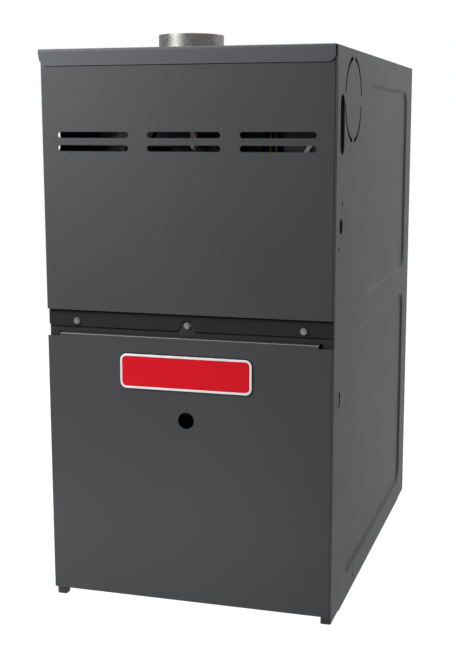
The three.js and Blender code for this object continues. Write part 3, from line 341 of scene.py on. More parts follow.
# Quads between neighbouring rows and columns of a grid of points
def grid(points, wrapRows=False, wrapColumns=False):
    rows, columns = points.shape[:2]
    index = np.arange(rows * columns).reshape(rows, columns)
    if wrapRows:
        index = np.vstack([index, index[:1]])
    if wrapColumns:
        index = np.hstack([index, index[:, :1]])
    quads = np.stack([index[:-1, :-1], index[:-1, 1:], index[1:, 1:], index[1:, :-1]], axis=-1)
    return points.reshape(-1, 3), quads.reshape(-1, 4).tolist()


# Rings of points joined into a body, with a face over the first ring and one over the last
def capped(rings):
    verts, faces = grid(rings, wrapColumns=True)
    count = rings.shape[1]
    return verts, [*faces, list(range(count))[::-1], list(range(len(verts) - count, len(verts)))]


# An outline pushed along an axis
def prism(outline, axis, start, end):
    u, v = np.asarray(outline, float).T
    return capped(np.stack([place(u, v, start, axis), place(u, v, end, axis)]))


def block(x0, x1, y0, y1, z0, z1):
    return prism([(x0, y0), (x1, y0), (x1, y1), (x0, y1)], "z", z0, z1)


# A profile of (radius, height) turned about an axis: u = r cos a, v = r sin a
def revolve(profile, axis="z", centre=(0, 0, 0), sides=48, closed=False):
    radius, height = np.asarray(profile, float).T[:, :, None]
    angle = np.linspace(0, 2 * np.pi, sides, endpoint=False)
    points = place(radius * np.cos(angle), radius * np.sin(angle), height, axis)
    return grid(points + np.array(centre, float), wrapRows=closed, wrapColumns=True)


# Rings round a path. The first direction is carried along the path without twist.
def ringsAlong(path, radius, sides):
    tangent = np.gradient(path, axis=0)
    tangent /= np.linalg.norm(tangent, axis=1, keepdims=True)
    across = np.cross(tangent[0], np.eye(3)[np.argmin(np.abs(tangent[0]))])
    carried = []
    for direction in tangent:
        across = across - direction * across.dot(direction)
        across = across / np.linalg.norm(across)
        carried.append(across)
    u = np.array(carried)
    v = np.cross(tangent, u)
    angle = np.linspace(0, 2 * np.pi, sides, endpoint=False)[None, :, None]
    size = np.broadcast_to(np.asarray(radius, float), len(path))[:, None, None]
    return path[:, None] + size * (np.cos(angle) * u[:, None] + np.sin(angle) * v[:, None])


def rod(path, radius, sides=20):
    return capped(ringsAlong(np.asarray(path, float), radius, sides))


# Centripetal Catmull-Rom curve through given points
def curveThrough(points, steps):
    points = np.asarray(points, float)
    knots = np.vstack([2 * points[0] - points[1], points, 2 * points[-1] - points[-2]])
    along = np.linspace(0, len(points) - 1, steps + 1)
    first = np.minimum(along.astype(int), len(points) - 2)
    t = (along - first)[:, None]
    p = [knots[first + i] for i in range(4)]
    gap = [np.sqrt(np.linalg.norm(p[i + 1] - p[i], axis=1, keepdims=True)) for i in range(3)]
    leave = ((p[1] - p[0]) / gap[0] - (p[2] - p[0]) / (gap[0] + gap[1]) + (p[2] - p[1]) / gap[1]) * gap[1]
    arrive = ((p[2] - p[1]) / gap[1] - (p[3] - p[1]) / (gap[1] + gap[2]) + (p[3] - p[2]) / gap[2]) * gap[1]
    square = 3 * (p[2] - p[1]) - 2 * leave - arrive
    cube = 2 * (p[1] - p[2]) + leave + arrive
    return p[1] + leave * t + square * t ** 2 + cube * t ** 3


# Middle line of a bent sheet: straight runs joined by arcs, with the normal at each point
def foldLine(corners, bend, steps=8):
    corners = np.array(corners, float)
    runs = np.diff(corners, axis=0)
    runs /= np.linalg.norm(runs, axis=1, keepdims=True)
    sides = np.stack([-runs[:, 1], runs[:, 0]], axis=1)
    points = [corners[:1]]
    normals = [sides[:1]]
    for corner, before, after in zip(corners[1:-1], sides[:-1], sides[1:]):
        turn = math.atan2(before[0] * after[1] - before[1] * after[0], before.dot(after))
        middle = (before + after) / np.linalg.norm(before + after)
        sign = math.copysign(1, turn)
        centre = corner + middle * sign * bend / math.cos(turn / 2)
        angle = turn * np.linspace(0, 1, steps + 1)[:, None]
        normal = before * np.cos(angle) + np.array([-before[1], before[0]]) * np.sin(angle)
        points.append(centre - sign * bend * normal)
        normals.append(normal)
    return np.vstack([*points, corners[-1:]]), np.vstack([*normals, sides[-1:]])


# Closed section of a sheet that follows a middle line
def section(points, normals, thickness):
    return np.vstack([points + normals * thickness / 2, (points - normals * thickness / 2)[::-1]])


def bentSheet(corners, bend, thickness, axis, start, end):
    return prism(section(*foldLine(corners, bend), thickness), axis, start, end)


# Section of a thin strip along a smooth curve, its normals from the curve's own slope
def ribbon(points, thickness):
    slope = np.gradient(points, axis=0)
    slope /= np.linalg.norm(slope, axis=1, keepdims=True)
    return section(points, np.stack([-slope[:, 1], slope[:, 0]], axis=1), thickness)


# Copies of a surface turned about an axis through a centre
def around(surface, axis, count, centre=(0, 0, 0)):
    verts, faces = surface
    angle = 2 * np.pi * np.arange(count)[:, None] / count
    i, j = [k for k in range(3) if k != "xyz".index(axis)]
    offset = np.asarray(verts, float) - centre
    turned = np.repeat(offset[None], count, axis=0)
    turned[:, :, i] = offset[:, i] * np.cos(angle) - offset[:, j] * np.sin(angle)
    turned[:, :, j] = offset[:, i] * np.sin(angle) + offset[:, j] * np.cos(angle)
    return copies(turned + centre, faces)


def copies(stacked, faces):
    size = stacked.shape[1]
    moved = [[corner + size * i for corner in face] for i in range(len(stacked)) for face in faces]
    return stacked.reshape(-1, 3), moved


def shifted(surface, offsets):
    verts, faces = surface
    return copies(np.asarray(offsets, float)[:, None] + np.asarray(verts, float)[None], faces)


def joined(surfaces):
    verts = []
    faces = []
    for points, corners in surfaces:
        start = sum(len(v) for v in verts)
        verts.append(np.asarray(points, float))
        faces += [[corner + start for corner in face] for face in corners]
    return np.vstack(verts), faces


# The solid of a CAD part as corners and triangles, in millimetres
def surfaceOf(node):
    data = frame["nodes"][node].data
    corners = np.zeros(len(data.vertices) * 3)
    data.vertices.foreach_get("co", corners)
    data.calc_loop_triangles()
    triangles = data.loop_triangles
    index = np.zeros(len(triangles) * 3, int)
    triangles.foreach_get("vertices", index)
    return corners.reshape(-1, 3) / mm, index.reshape(-1, 3).tolist()


def newObject(name, surfaces, flatten=False):
    verts, faces = joined(surfaces)
    mesh = bpy.data.meshes.new(name)
    mesh.from_pydata((verts * mm).tolist(), [], faces)
    work = bmesh.new()
    work.from_mesh(mesh)
    bmesh.ops.remove_doubles(work, verts=work.verts, dist=2e-6)
    if flatten:
        bmesh.ops.dissolve_limit(work, angle_limit=math.radians(0.4), verts=work.verts, edges=work.edges)
    bmesh.ops.recalc_face_normals(work, faces=work.faces)
    work.to_mesh(mesh)
    work.free()
    piece = bpy.data.objects.new(name, mesh)
    bpy.context.scene.collection.objects.link(piece)
    return piece


def addModifier(piece, kind, **settings):
    modifier = piece.modifiers.new(kind.lower(), kind)
    for key, value in settings.items():
        setattr(modifier, key, value)


def applyModifiers(piece):
    depsgraph = bpy.context.evaluated_depsgraph_get()
    baked = bpy.data.meshes.new_from_object(piece.evaluated_get(depsgraph))
    piece.modifiers.clear()
    piece.data = baked


# One finished piece: surfaces in millimetres, holes cut, edges broken, faces smoothed up to an angle
def makePiece(name, surfaces, finish, body="root", replaces=(), cutters=(), bevel=0.0, smooth=38,
              flatten=False):
    piece = newObject(name, surfaces, flatten)
    if cutters:
        cutter = newObject(name + "Cutter", cutters)
        addModifier(piece, "BOOLEAN", operation="DIFFERENCE", object=cutter, solver="MANIFOLD")
        applyModifiers(piece)
        bpy.data.objects.remove(cutter)
    if bevel:
        addModifier(piece, "BEVEL", width=bevel * mm, segments=2, limit_method="ANGLE",
                    angle_limit=math.radians(smooth), harden_normals=False)
        applyModifiers(piece)
    piece.data.shade_smooth()
    piece.data.set_sharp_from_angle(angle=math.radians(smooth))
    addModifier(piece, "WEIGHTED_NORMAL", keep_sharp=True)
    applyModifiers(piece)
    piece.data.materials.clear()
    piece.data.materials.append(finish)
    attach(piece, body)
    if replaces:
        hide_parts(*replaces)
    return piece


# A CAD part with its corners joined up and its edges broken as pressed or moulded metal is
def soften(node, finish, bevel=0.35, smooth=38):
    body = frame["nodes"][node]["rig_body"]
    return makePiece(
        node + "_formed", [surfaceOf(node)], finish, body, [node],
        bevel=bevel, smooth=smooth, flatten=True)


# Cabinet: its outer sizes come from the boxes of the CAD parts
wrapLow, wrapHigh = boxOf("casing_wrap")
side, back, top = wrapHigh
frameFace = wrapLow[1]
cabinet = dict(
    sheet=1.2, bend=2.4, flange=16, returns=13, floorFlange=18, ductFlange=19, ductFront=-123.5,
    foot=dict(lift=2.5, front=-285, rear=299, half=190), topCutFront=-300)
sheet = cabinet["sheet"]
inside = side - sheet
pressing = dict(
    depth=4.0, radius=28.0, ramp=7.0, lead=1.5, fine=0.9, coarse=2.0, hem=16.0,
    sideRear=299.0, backHalf=150.0, upper=(467.0, 802.0), lower=(40.0, 420.5), upperFront=-100.0,
    lowerFront=-248.0)


# Signed distance to a rounded rectangle, then a soft step down to the pressing's depth
def pressedDepth(u, v, fields):
    depth = np.zeros(np.broadcast_shapes(u.shape, v.shape))
    for u0, u1, v0, v1 in fields:
        acrossU = np.abs(u - (u0 + u1) / 2) - (u1 - u0) / 2 + pressing["radius"]
        acrossV = np.abs(v - (v0 + v1) / 2) - (v1 - v0) / 2 + pressing["radius"]
        beyond = np.hypot(np.maximum(acrossU, 0), np.maximum(acrossV, 0))
        distance = beyond + np.minimum(np.maximum(acrossU, acrossV), 0) - pressing["radius"]
        t = np.clip((pressing["lead"] - distance) / pressing["ramp"], 0, 1)
        depth += pressing["depth"] * t * t * (3 - 2 * t)
    return depth


# Grid lines near one edge of a pressing: close over the ramp, wider through the corner's curve
def linesNear(edge, inward):
    ramp = np.arange(-2, 7, pressing["fine"])
    corner = np.arange(7, pressing["radius"] + 3, pressing["coarse"])
    return edge + inward * np.concatenate([ramp, corner])


def makeCasing():
    half = side - sheet / 2
    rear = back - sheet / 2
    front = frameFace + sheet / 2
    flangeEnd = side - cabinet["flange"] + sheet / 2
    returnEnd = frameFace + cabinet["returns"]
    points, normals = foldLine([
        (-flangeEnd, returnEnd), (-flangeEnd, front), (-half, front), (-half, rear),
        (half, rear), (half, front), (flangeEnd, front), (flangeEnd, returnEnd)], cabinet["bend"])
    length = np.concatenate([[0], np.cumsum(np.linalg.norm(np.diff(points, axis=0), axis=1))])
    sideLines = np.concatenate([
        linesNear(pressing["upperFront"], 1), linesNear(pressing["lowerFront"], 1),
        linesNear(pressing["sideRear"], -1)])
    backHalf = pressing["backHalf"]
    backLines = np.concatenate([linesNear(-backHalf, 1), linesNear(backHalf, -1)])
    onLeft = (normals[:, 0] < -0.999) & (points[:, 0] < -half + 0.1)
    onRight = (normals[:, 0] > 0.999) & (points[:, 0] > half - 0.1)
    onBack = normals[:, 1] > 0.999
    order = np.argsort(points[onRight, 1])
    extra = [
        np.interp(sideLines, points[onLeft, 1], length[onLeft]),
        np.interp(sideLines, points[onRight, 1][order], length[onRight][order]),
        np.interp(backLines, points[onBack, 0], length[onBack])]
    along = np.unique(np.round(np.concatenate([length, *extra]), 3))
    x, y, nx, ny = (np.interp(along, length, column) for column in (*points.T, *normals.T))
    heights = [
        linesNear(edge, inward)
        for level in ("lower", "upper") for edge, inward in zip(pressing[level], (1, -1))]
    hem = pressing["hem"]
    z = np.unique(np.round(np.concatenate([[0.0, hem, top - hem, top], *heights]), 3))
    sideFields = [
        (pressing["upperFront"], pressing["sideRear"], *pressing["upper"]),
        (pressing["lowerFront"], pressing["sideRear"], *pressing["lower"])]
    backFields = [(-backHalf, backHalf, *pressing[level]) for level in ("upper", "lower")]
    onSide = (np.abs(nx) > 0.999) & (np.abs(x) > half - 0.1)
    depth = np.where(onSide, pressedDepth(y, z[:, None], sideFields), 0)
    depth = np.where(ny > 0.999, pressedDepth(x, z[:, None], backFields), depth)
    skins = [
        np.stack([x + nx * out, y + ny * out, z[:, None] + 0 * out], axis=-1)
        for out in (sheet / 2 - depth, -sheet / 2 - depth)]
    wall = capped(np.concatenate([skins[0], skins[1][:, ::-1]], axis=1))
    makePiece(
        "casing", [wall], casingPaint, replaces=["casing_wrap"], cutters=casingCutters(),
        bevel=0.25)
    makePiece("casingFlanges", casingFlanges(half, rear), casingPaint, bevel=0.2)


# Holes of each side, as y, z and radius; the gas slot as y, z, width and height
casingHoles = dict(
    gas=(-305, 739, 28.4, 85), conduit=(-307, 594.2, 11.1),
    screws=((-299, 626.5, 3), (-318.5, 562.8, 3), (-172, 16, 3.5)))
knockouts = dict(
    vent=dict(ring=(-226.3, 775.3, 60.2), slit=5.8, tab=15),
    lowVoltage=dict(ring=(-310, 338, 11), slits=((-75, 6.4), (105, 1.6)), turn=150),
    joint=dict(narrowing=0.1, outer=0.12, inner=0.1))


def ringSlit(y, z, radius, width, start, end):
    outer = arc(y, z, radius + width / 2, start, end, 16)
    inner = arc(y, z, radius - width / 2, end, start, 16)
    return np.vstack([outer, inner])


# Knock-out lines of one side: four quarters round the vent's, two crescents round the low voltage one's
def knockoutSlits(narrowing=0.0):
    vent, small = knockouts["vent"], knockouts["lowVoltage"]
    width = vent["slit"] - narrowing
    halfTab = math.degrees(vent["tab"] / 2 / vent["ring"][2])
    slits = [
        ringSlit(*vent["ring"], width, start + halfTab, start + 90 - halfTab) for start in (0, 90, 180, 270)]
    for start, wide in small["slits"]:
        slits.append(ringSlit(*small["ring"], wide - narrowing, start, start + small["turn"]))
    return slits


def casingCutters():
    y, z, width, height = casingHoles["gas"]
    outlines = [
        roundedRect(y - width / 2, y + width / 2, z - height / 2, z + height / 2, width / 2, 12),
        circle(*casingHoles["conduit"], 32), *[circle(*hole, 16) for hole in casingHoles["screws"]],
        *knockoutSlits()]
    through = [
        prism(outline, "x", sign * (side - 5), sign * (side + 1))
        for outline in outlines for sign in (-1, 1)]
    foot = cabinet["foot"]
    lift = foot["lift"]
    clear = side + 1
    return [
        *through, block(-clear, clear, frameFace - 1, foot["front"], -1, lift),
        block(-clear, -foot["half"], foot["rear"], back + 1, -1, lift),
        block(foot["half"], clear, foot["rear"], back + 1, -1, lift),
        block(-inside, inside, frameFace - 1, cabinet["topCutFront"], top - sheet - 0.4, top + 1)]


# The same lines filled on both sides with black: painted shade in the knock-out lines, which also lets no
# light in
def makeKnockoutShade():
    look = knockouts["joint"]
    skins = (side - look["outer"], side - sheet + look["inner"])
    shadeFills = [
        prism(slit, "x", *sorted([sign * skin for skin in skins]))
        for slit in knockoutSlits(look["narrowing"]) for sign in (-1, 1)]
    makePiece("knockoutShade", shadeFills, rubberAndShade)


# Flanges turned in at the floor and round the duct opening
def casingFlanges(half, rear):
    foot = cabinet["foot"]
    floorWide, ductWide = cabinet["floorFlange"], cabinet["ductFlange"]
    lid = top - sheet
    made = [
        block(-foot["half"], foot["half"], back - floorWide, rear, 0, sheet),
        block(-half, half, back - ductWide, rear, lid, top)]
    for sign in (-1, 1):
        low, high = sorted([sign * half, sign * (side - floorWide)])
        made.append(block(low, high, foot["front"], foot["rear"], 0, sheet))
        low, high = sorted([sign * half, sign * (side - ductWide)])
        made.append(block(low, high, cabinet["ductFront"], rear, lid, top))
    return made


makeCasing()
makeKnockoutShade()
print("casing made")

doorLook = dict(bend=1.8, edge=0.25, seam=4.0, underLip=823.2)
doorLow, doorHigh = boxOf("upper_door")
doorFace = doorLow[1]
doorEnd = doorHigh[1]
slots = dict(length=111.6, height=9, columns=(-141, -0.4, 140), rows=(705, 724.3))
lip = dict(
    lean=16, bend=3.0, corner=11, rear=-124, bottom=824.2, gap=0.4, flueHole=50.6,
    tabs=(-328, -145), tabDrop=10.2)
lipLow, lipHigh = boxOf("top_panel")


def doorShell(bottom, high):
    half = side - sheet / 2
    face = doorFace + sheet / 2
    end = doorEnd - doorLook["seam"]
    corners = [(-half, end), (-half, face), (half, face), (half, end)]
    return bentSheet(corners, doorLook["bend"], sheet, "z", bottom, high)


def doorFlange(half, bottom):
    return block(-half, half, doorFace + sheet / 2, doorEnd, bottom, bottom + sheet)


def makeUpperDoor():
    bottom = doorLow[2]
    underLip = doorLook["underLip"]
    x = lipHigh[0] - lip["corner"]
    z = lip["bottom"] + lip["corner"]
    front = doorFace - 1
    rear = doorEnd + 1
    length, height = slots["length"] / 2, slots["height"] / 2
    louvres = []
    for at in slots["columns"]:
        for row in slots["rows"]:
            slot = roundedRect(at - length, at + length, row - height, row + height, height, 10)
            louvres.append(prism(slot, "y", front, rear))
    notch = [
        prism([(-x, underLip), (x, underLip), (x, top), (-x, top)], "y", front, rear),
        prism(circle(-x, z, lip["corner"] + 1, 64), "y", front - 0.1, rear + 0.1),
        prism(circle(x, z, lip["corner"] + 1, 64), "y", front - 0.2, rear + 0.2)]
    makePiece(
        "upperDoor", [doorShell(bottom, doorHigh[2])], doorPaint, "upper_door",
        ["upper_door"], cutters=[*louvres, *notch], bevel=doorLook["edge"])
    makePiece(
        "upperDoorFlanges", [doorFlange(side - 4, bottom), doorFlange(x - 4, underLip - sheet)],
        doorPaint, "upper_door", bevel=0.2)


lowerDoor = dict(
    corner=422.1, crest=202, roll=0.8, sight=(0, 302.5, 12.5), striker=dict(x=(143, 157), z=(406, 418)))


def makeLowerDoor():
    low, high = boxOf("lower_door")
    face = doorFace + sheet
    x, z, radius = lowerDoor["sight"]
    sight = prism(circle(x, z, radius, 64), "y", doorFace - 1, face + 1)
    crest = lowerDoor["crest"]
    makePiece(
        "lowerDoor", [doorShell(low[2], lowerDoor["corner"])], doorPaint, "lower_door",
        ["lower_door"], cutters=[sight], bevel=doorLook["edge"])
    # The lower door's rolled top edge in light grey: a painted highlight along the bend
    roll = lowerDoor["roll"]
    tab = block(-crest, crest, doorFace, face, lowerDoor["corner"] - 0.6, high[2] - roll)
    rolled = np.vstack([
        arc(doorFace + roll, high[2] - roll, roll, 180, 90, 8), [(face, high[2]), (face, high[2] - roll)]])
    makePiece(
        "lowerDoorCrestHighlight", [prism(rolled, "x", -crest, crest)], crestHighlightPaint, "lower_door",
        smooth=40)
    striker = block(*lowerDoor["striker"]["x"], face - 0.2, high[1], *lowerDoor["striker"]["z"])
    makePiece(
        "lowerDoorFlanges", [
            tab, doorFlange(crest, high[2] - sheet), doorFlange(side - 4, low[2]), striker],
        doorPaint, "lower_door", bevel=0.2)


# What goes beside and under a lower corner that is rounded about (x, z)
def cornerWaste(x, z, radius, sign, beyond, drop, steps):
    rounding = arc(x, z, radius, 0 if sign > 0 else 180, -90 if sign > 0 else 270, steps)
    return np.vstack([rounding, [(x, z - drop), (beyond, z - drop), (beyond, z)]])


def makeTopPanel():
    turn = math.radians(90 + lip["lean"])
    nose = lipLow[1]
    foldY = nose + lip["bend"] + sheet / 2 - lip["bend"] * math.tan(turn / 2)
    mid = top - sheet / 2
    bottom = lip["bottom"]
    endY = foldY + (mid - bottom) * math.tan(math.radians(lip["lean"]))
    half = lipHigh[0]
    fit = inside - lip["gap"]
    corners = [(lip["rear"], mid), (foldY, mid), (endY, bottom)]
    panel = bentSheet(corners, lip["bend"], sheet, "x", -half, half)
    cutters = []
    for sign in (-1, 1):
        x = sign * (half - lip["corner"])
        z = bottom + lip["corner"]
        beyond = sign * (side + 1)
        waste = cornerWaste(x, z, lip["corner"], sign, beyond, 20, 14)
        cutters.append(prism(waste, "y", nose - 2, frameFace))
        low, high = sorted([sign * fit, beyond])
        cutters.append(block(low, high, frameFace - 0.4, lip["rear"] + 1, top - 6, top + 1))
    flue = boxOf("flue_collar")
    x, y = (flue[0][:2] + flue[1][:2]) / 2
    cutters.append(prism(circle(x, y, lip["flueHole"], 64), "z", top - 3, top + 2))
    # Top panel and its tabs in the lightened lid paint, which paints light on them
    makePiece(
        "topPanel", [panel], litLidPaint, replaces=["top_panel"], cutters=cutters, bevel=0.25)
    tabs = [
        block(low, high, *lip["tabs"], top - lip["tabDrop"], top - lip["gap"])
        for low, high in ((-fit, -fit + sheet), (fit - sheet, fit))]
    makePiece("topPanelTabs", tabs, litLidPaint, bevel=0.2)


rail = dict(
    bottom=437.5, top=461.8, screws=(-175.4, 0.7, 178.3), screwHeight=445.8, hole=2.4, corner=4, bend=2.2,
    notch=[(-13.5, 437), (12.5, 437), (7.8, 452.2), (-7, 452.2)], besideFlange=204.5, relief=-330)


def screwHole(x):
    return prism(circle(x, rail["screwHeight"], rail["hole"], 24), "y", frameFace - 6, frameFace + 1)


def makeRail():
    low, high = boxOf("deck_rail")
    face = low[1]
    half = high[0]
    mid = face + sheet / 2
    level = rail["top"] - sheet / 2
    corners = [(mid, rail["bottom"]), (mid, level), (high[1], level)]
    strip = bentSheet(corners, rail["bend"], sheet, "x", -half, half)
    left, _, right = rail["screws"]
    cutters = [prism(rail["notch"], "y", face - 1, frameFace), screwHole(left), screwHole(right)]
    for sign in (-1, 1):
        x = sign * (half - rail["corner"])
        z = rail["bottom"] + rail["corner"]
        waste = cornerWaste(x, z, rail["corner"], sign, sign * side, 9, 8)
        cutters.append(prism(waste, "y", face - 1, frameFace))
        inner, outer = sorted([sign * rail["besideFlange"], sign * (half + 1)])
        cutters.append(block(inner, outer, frameFace - 0.4, rail["relief"], rail["bottom"], rail["top"] + 1))
    makePiece(
        "deckRail", [strip], deckPaint, replaces=["deck_rail"], cutters=cutters, bevel=0.25)


deck = dict(
    edge=428.6, between=206, outlet=(-104, 104, -58, 222), outletCorner=6,
    grommet=(-185, -250, 13), bead=1.6, relief=14, reliefBottom=440)


def makeDeck():
    low, high = boxOf("blower_deck")
    mid = high[2] - sheet / 2
    face = low[1] + sheet / 2
    half = high[0]
    corners = [(high[1], mid), (face, mid), (face, low[2])]
    shelf = bentSheet(corners, rail["bend"], sheet, "x", -half, half)
    cutters = [
        prism(roundedRect(*deck["outlet"], deck["outletCorner"]), "z", high[2] - 3, high[2] + 2),
        prism(circle(*deck["grommet"], 40), "z", high[2] - 3, high[2] + 2),
        block(-deck["between"], deck["between"], face - sheet, face + sheet, low[2] - 1, deck["edge"]),
        *[screwHole(x) for x in rail["screws"]]]
    for sign in (-1, 1):
        inner, outer = sorted([sign * rail["besideFlange"], sign * (half + 1)])
        relief = frameFace + deck["relief"]
        cutters.append(block(inner, outer, frameFace - 0.4, relief, deck["reliefBottom"], high[2] + 1))
    makePiece(
        "blowerDeck", [shelf], shelfPaint, replaces=["blower_deck"], cutters=cutters,
        bevel=0.25)
    x, y, radius = deck["grommet"]
    profile = arc(radius - 0.2, mid, deck["bead"], 0, 330, 11)
    makePiece(
        "deckGrommet", [revolve(profile, "z", (x, y, 0), 40, closed=True)], rubberAndShade)


seamStrips = dict(
    inner=218.6, outer=221.5, upper=(464, 823), lower=(18, 417), skin=0.1, rail=1.4,
    railRuns=((-216, -13.5), (12.5, 216)), lip=(-353.4, -349, -354.8), lipHalf=200)


# Black strips that paint the shade in the seams: behind the doors' sides, behind the lip and under the rail
def makeSeamStrips():
    look = seamStrips
    skin = look["skin"]
    front, rear = doorEnd - doorLook["seam"] + skin, frameFace - skin
    strips = [
        block(*sorted([sign * look["inner"], sign * look["outer"]]), front, rear, *look[level])
        for sign in (-1, 1) for level in ("upper", "lower")]
    makePiece("doorSeamShade", strips, rubberAndShade, bevel=0.3)
    low = lip["bottom"]
    foot, behind, head = look["lip"]
    behindLip = [
        (foot, low + 0.3), (behind, doorLook["underLip"] + 0.3), (behind, low + 5.3), (head, low + 5.3)]
    lipSeamShade = prism(behindLip, "x", -look["lipHalf"], look["lipHalf"])
    makePiece("lipSeamShade", [lipSeamShade], rubberAndShade, bevel=0.2)
    face = boxOf("deck_rail")[0][1]
    # A black strip under the rail's lower edge: a painted shadow line
    bottom = rail["bottom"]
    underRail = [
        block(x0, x1, face + skin, face + sheet - skin, bottom - look["rail"], bottom - 0.05)
        for x0, x1 in look["railRuns"]]
    makePiece("railShadow", underRail, rubberAndShade, bevel=0.2)
    face = boxOf("blower_deck")[0][1]
    doorTop = boxOf("lower_door")[1][2]
    crest = lowerDoor["crest"]
    overDoor = block(-crest, crest, face + skin, face + sheet - skin, doorTop + 0.1, deck["edge"] - 0.05)
    makePiece("doorTopSeal", [overDoor], shelfPaint)


makeUpperDoor()
makeLowerDoor()
makeTopPanel()
makeRail()
makeDeck()
makeSeamStrips()
for node in ("base_pan", "vestibule_panel"):
    soften(node, zinc, 0.3)
print("doors, top, rail and deck made")

screwLook = dict(apothem=3.7, washer=5.2, washerHeight=0.9, headTop=3.9, sides=72, chamfer=0.7)
diagonals = np.radians((45, 135, 225, 315))


# Hexagon: r = apothem / cos(a - nearest flat), pulled in to a circle over the chamfer at the top
def hexHead(apothem, base, crown, chamfer, sides):
    angle = np.linspace(0, 2 * np.pi, sides, endpoint=False)
    fromFlat = (angle + np.pi / 6) % (np.pi / 3) - np.pi / 6
    hexagon = apothem / np.cos(fromFlat)
    rounded = np.minimum(hexagon, apothem * 1.02)
    levels = [(hexagon, base), (hexagon, crown - chamfer), (rounded, crown), (rounded * 0.72, crown),
              (rounded * 0.62, crown - 0.5), (rounded * 0, crown - 0.5)]
    return np.stack([place(r * np.cos(angle), r * np.sin(angle), h, "z") for r, h in levels])


# Hex washer screw with its bearing face at z = 0, turned to look along -y, then set at each place
def washerScrew(scale=1.0):
    look = screwLook
    rings = hexHead(look["apothem"], 0.5, look["headTop"], look["chamfer"], look["sides"])
    head = grid(rings, wrapColumns=True)
    wide, deep = look["washer"], look["washerHeight"]
    washer = revolve([
        (0, 0), (wide - 0.2, 0), (wide, 0.3), (wide - 0.3, deep), (look["apothem"], deep + 0.2),
        (0, deep + 0.2)], sides=look["sides"])
    shank = revolve([(0, -7), (1.6, -6), (2, -5), (2, 0.2), (0, 0.2)], sides=24)
    verts, faces = joined([head, washer, shank])
    return verts * scale, faces


facing = {
    "front": lambda v: np.stack([v[:, 0], -v[:, 2], v[:, 1]], 1),
    "up": lambda v: v,
    "right": lambda v: np.stack([v[:, 2], v[:, 0], v[:, 1]], 1),
    "left": lambda v: np.stack([-v[:, 2], v[:, 0], v[:, 1]], 1)}


def screwsAt(name, direction, places, scale=1.0, body="root", replaces=()):
    verts, faces = washerScrew(scale)
    turned = (facing[direction](verts), faces)
    return makePiece(name, [shifted(turned, places)], screwZinc, body, replaces, smooth=32)


for node in ("deck_screw_left", "deck_screw_middle", "deck_screw_right"):
    low, high = boxOf(node)
    middle = (low + high) / 2
    bearing = (middle[0], low[1] + screwLook["headTop"], middle[2])
    screwsAt(node + "_hex", "front", [bearing], replaces=[node])

badge = dict(radius=10, rim=3.5, height=2.6, field=1.0, crown=0.35)


# Rings inside one another: each is the badge's outline drawn in by an inset and set at a depth
def badgeRings(box, insets, depths):
    (x0, _, z0), (x1, _, z1) = box
    rings = []
    for inset, depth in zip(insets, depths):
        radius = max(badge["radius"] - inset, 0.6)
        outline = roundedRect(x0 + inset, x1 - inset, z0 + inset, z1 - inset, radius, 10)
        rings.append(place(*outline.T, depth, "y"))
    return np.stack(rings)


def makeBadge():
    box = boxOf("name_plate")
    rear = box[1][1]
    rim = badge["rim"]
    lift = rear - badge["height"]
    rimRings = badgeRings(
        box, [0.6, 0.1, 0, 0.25, 0.8, rim - 0.9, rim - 0.35, rim, rim],
        [rear, rear, lift + 0.9, lift + 0.25, lift, lift, lift + 0.2, lift + 0.6, rear - 0.5])
    makePiece(
        "badgeRim", [capped(rimRings)], badgeWhite, "lower_door", ["name_plate"], smooth=50)
    fieldFace = lift + badge["field"] - 0.3
    fieldRings = badgeRings(box, [rim - 0.1, rim - 0.1, rim + 0.5, rim + 4], [
        rear - 0.4, fieldFace + 0.15, fieldFace, fieldFace - badge["crown"] * 0.3])
    makePiece("badgeField", [capped(fieldRings)], badgeRed, "lower_door", smooth=50)
    # A black outline just beyond the white rim: a painted shadow round the badge
    shadowOutline = badgeRings(box, [-0.9, -0.9, 0.3], [rear, rear - 0.5, rear - 0.6])
    makePiece("badgeShadowOutline", [capped(shadowOutline)], rubberAndShade, "lower_door", smooth=50)


makeBadge()

collar = dict(wall=0.9, flange=10, neck=29.4, seam=10, seamAngle=-62, screwsOut=6)


def makeCollar():
    low, high = boxOf("flue_collar")
    centre = (low + high) / 2
    radius = high[0] - centre[0] - collar["flange"]
    base = top + 0.4
    inner = radius - collar["wall"]
    flange = radius + collar["flange"]
    foot, upper = low[2], high[2]
    neck = collar["neck"]
    profile = [
        (neck, foot), (neck + 1, foot), (neck + 3, foot + 3), (radius - 1.5, foot + 20.5),
        (radius, foot + 22), (radius, base), (flange - 0.3, base), (flange, base + 0.5),
        (flange - 0.3, base + 1), (radius + 1.2, base + 1), (radius + 0.3, base + 1.4), (radius, base + 2.4),
        (radius, upper - 9.5), (radius, upper - 0.6), (radius - 0.2, upper - 0.1), (radius - 0.5, upper),
        (inner + 0.1, upper - 0.2), (inner, upper - 0.7), (inner, foot + 22.4), (neck + 1.6, foot + 3.2)]
    ring = revolve(profile, "z", (centre[0], centre[1], 0), 128, closed=True)
    angle = math.radians(collar["seamAngle"])
    seam = block(-0.35, 0.35, -collar["seam"] / 2, collar["seam"] / 2, base + 1.2, upper - 0.4)
    verts = seam[0] @ np.array([
        [math.cos(angle), math.sin(angle), 0], [-math.sin(angle), math.cos(angle), 0], [0, 0, 1]])
    reach = radius + 0.1
    verts = verts + [centre[0] + reach * math.cos(angle), centre[1] + reach * math.sin(angle), 0]
    makePiece("ventCollar", [ring], collarZinc, replaces=["flue_collar"], smooth=42)
    makePiece("ventCollarSeam", [(verts, seam[1])], collarZinc, bevel=0.2)
    out = radius + collar["screwsOut"]
    places = [(centre[0] + out * math.cos(a), centre[1] + out * math.sin(a), base + 1) for a in diagonals]
    screwsAt("ventCollarScrews", "up", places, 0.7)


makeCollar()
print("badge, screws and vent collar made")

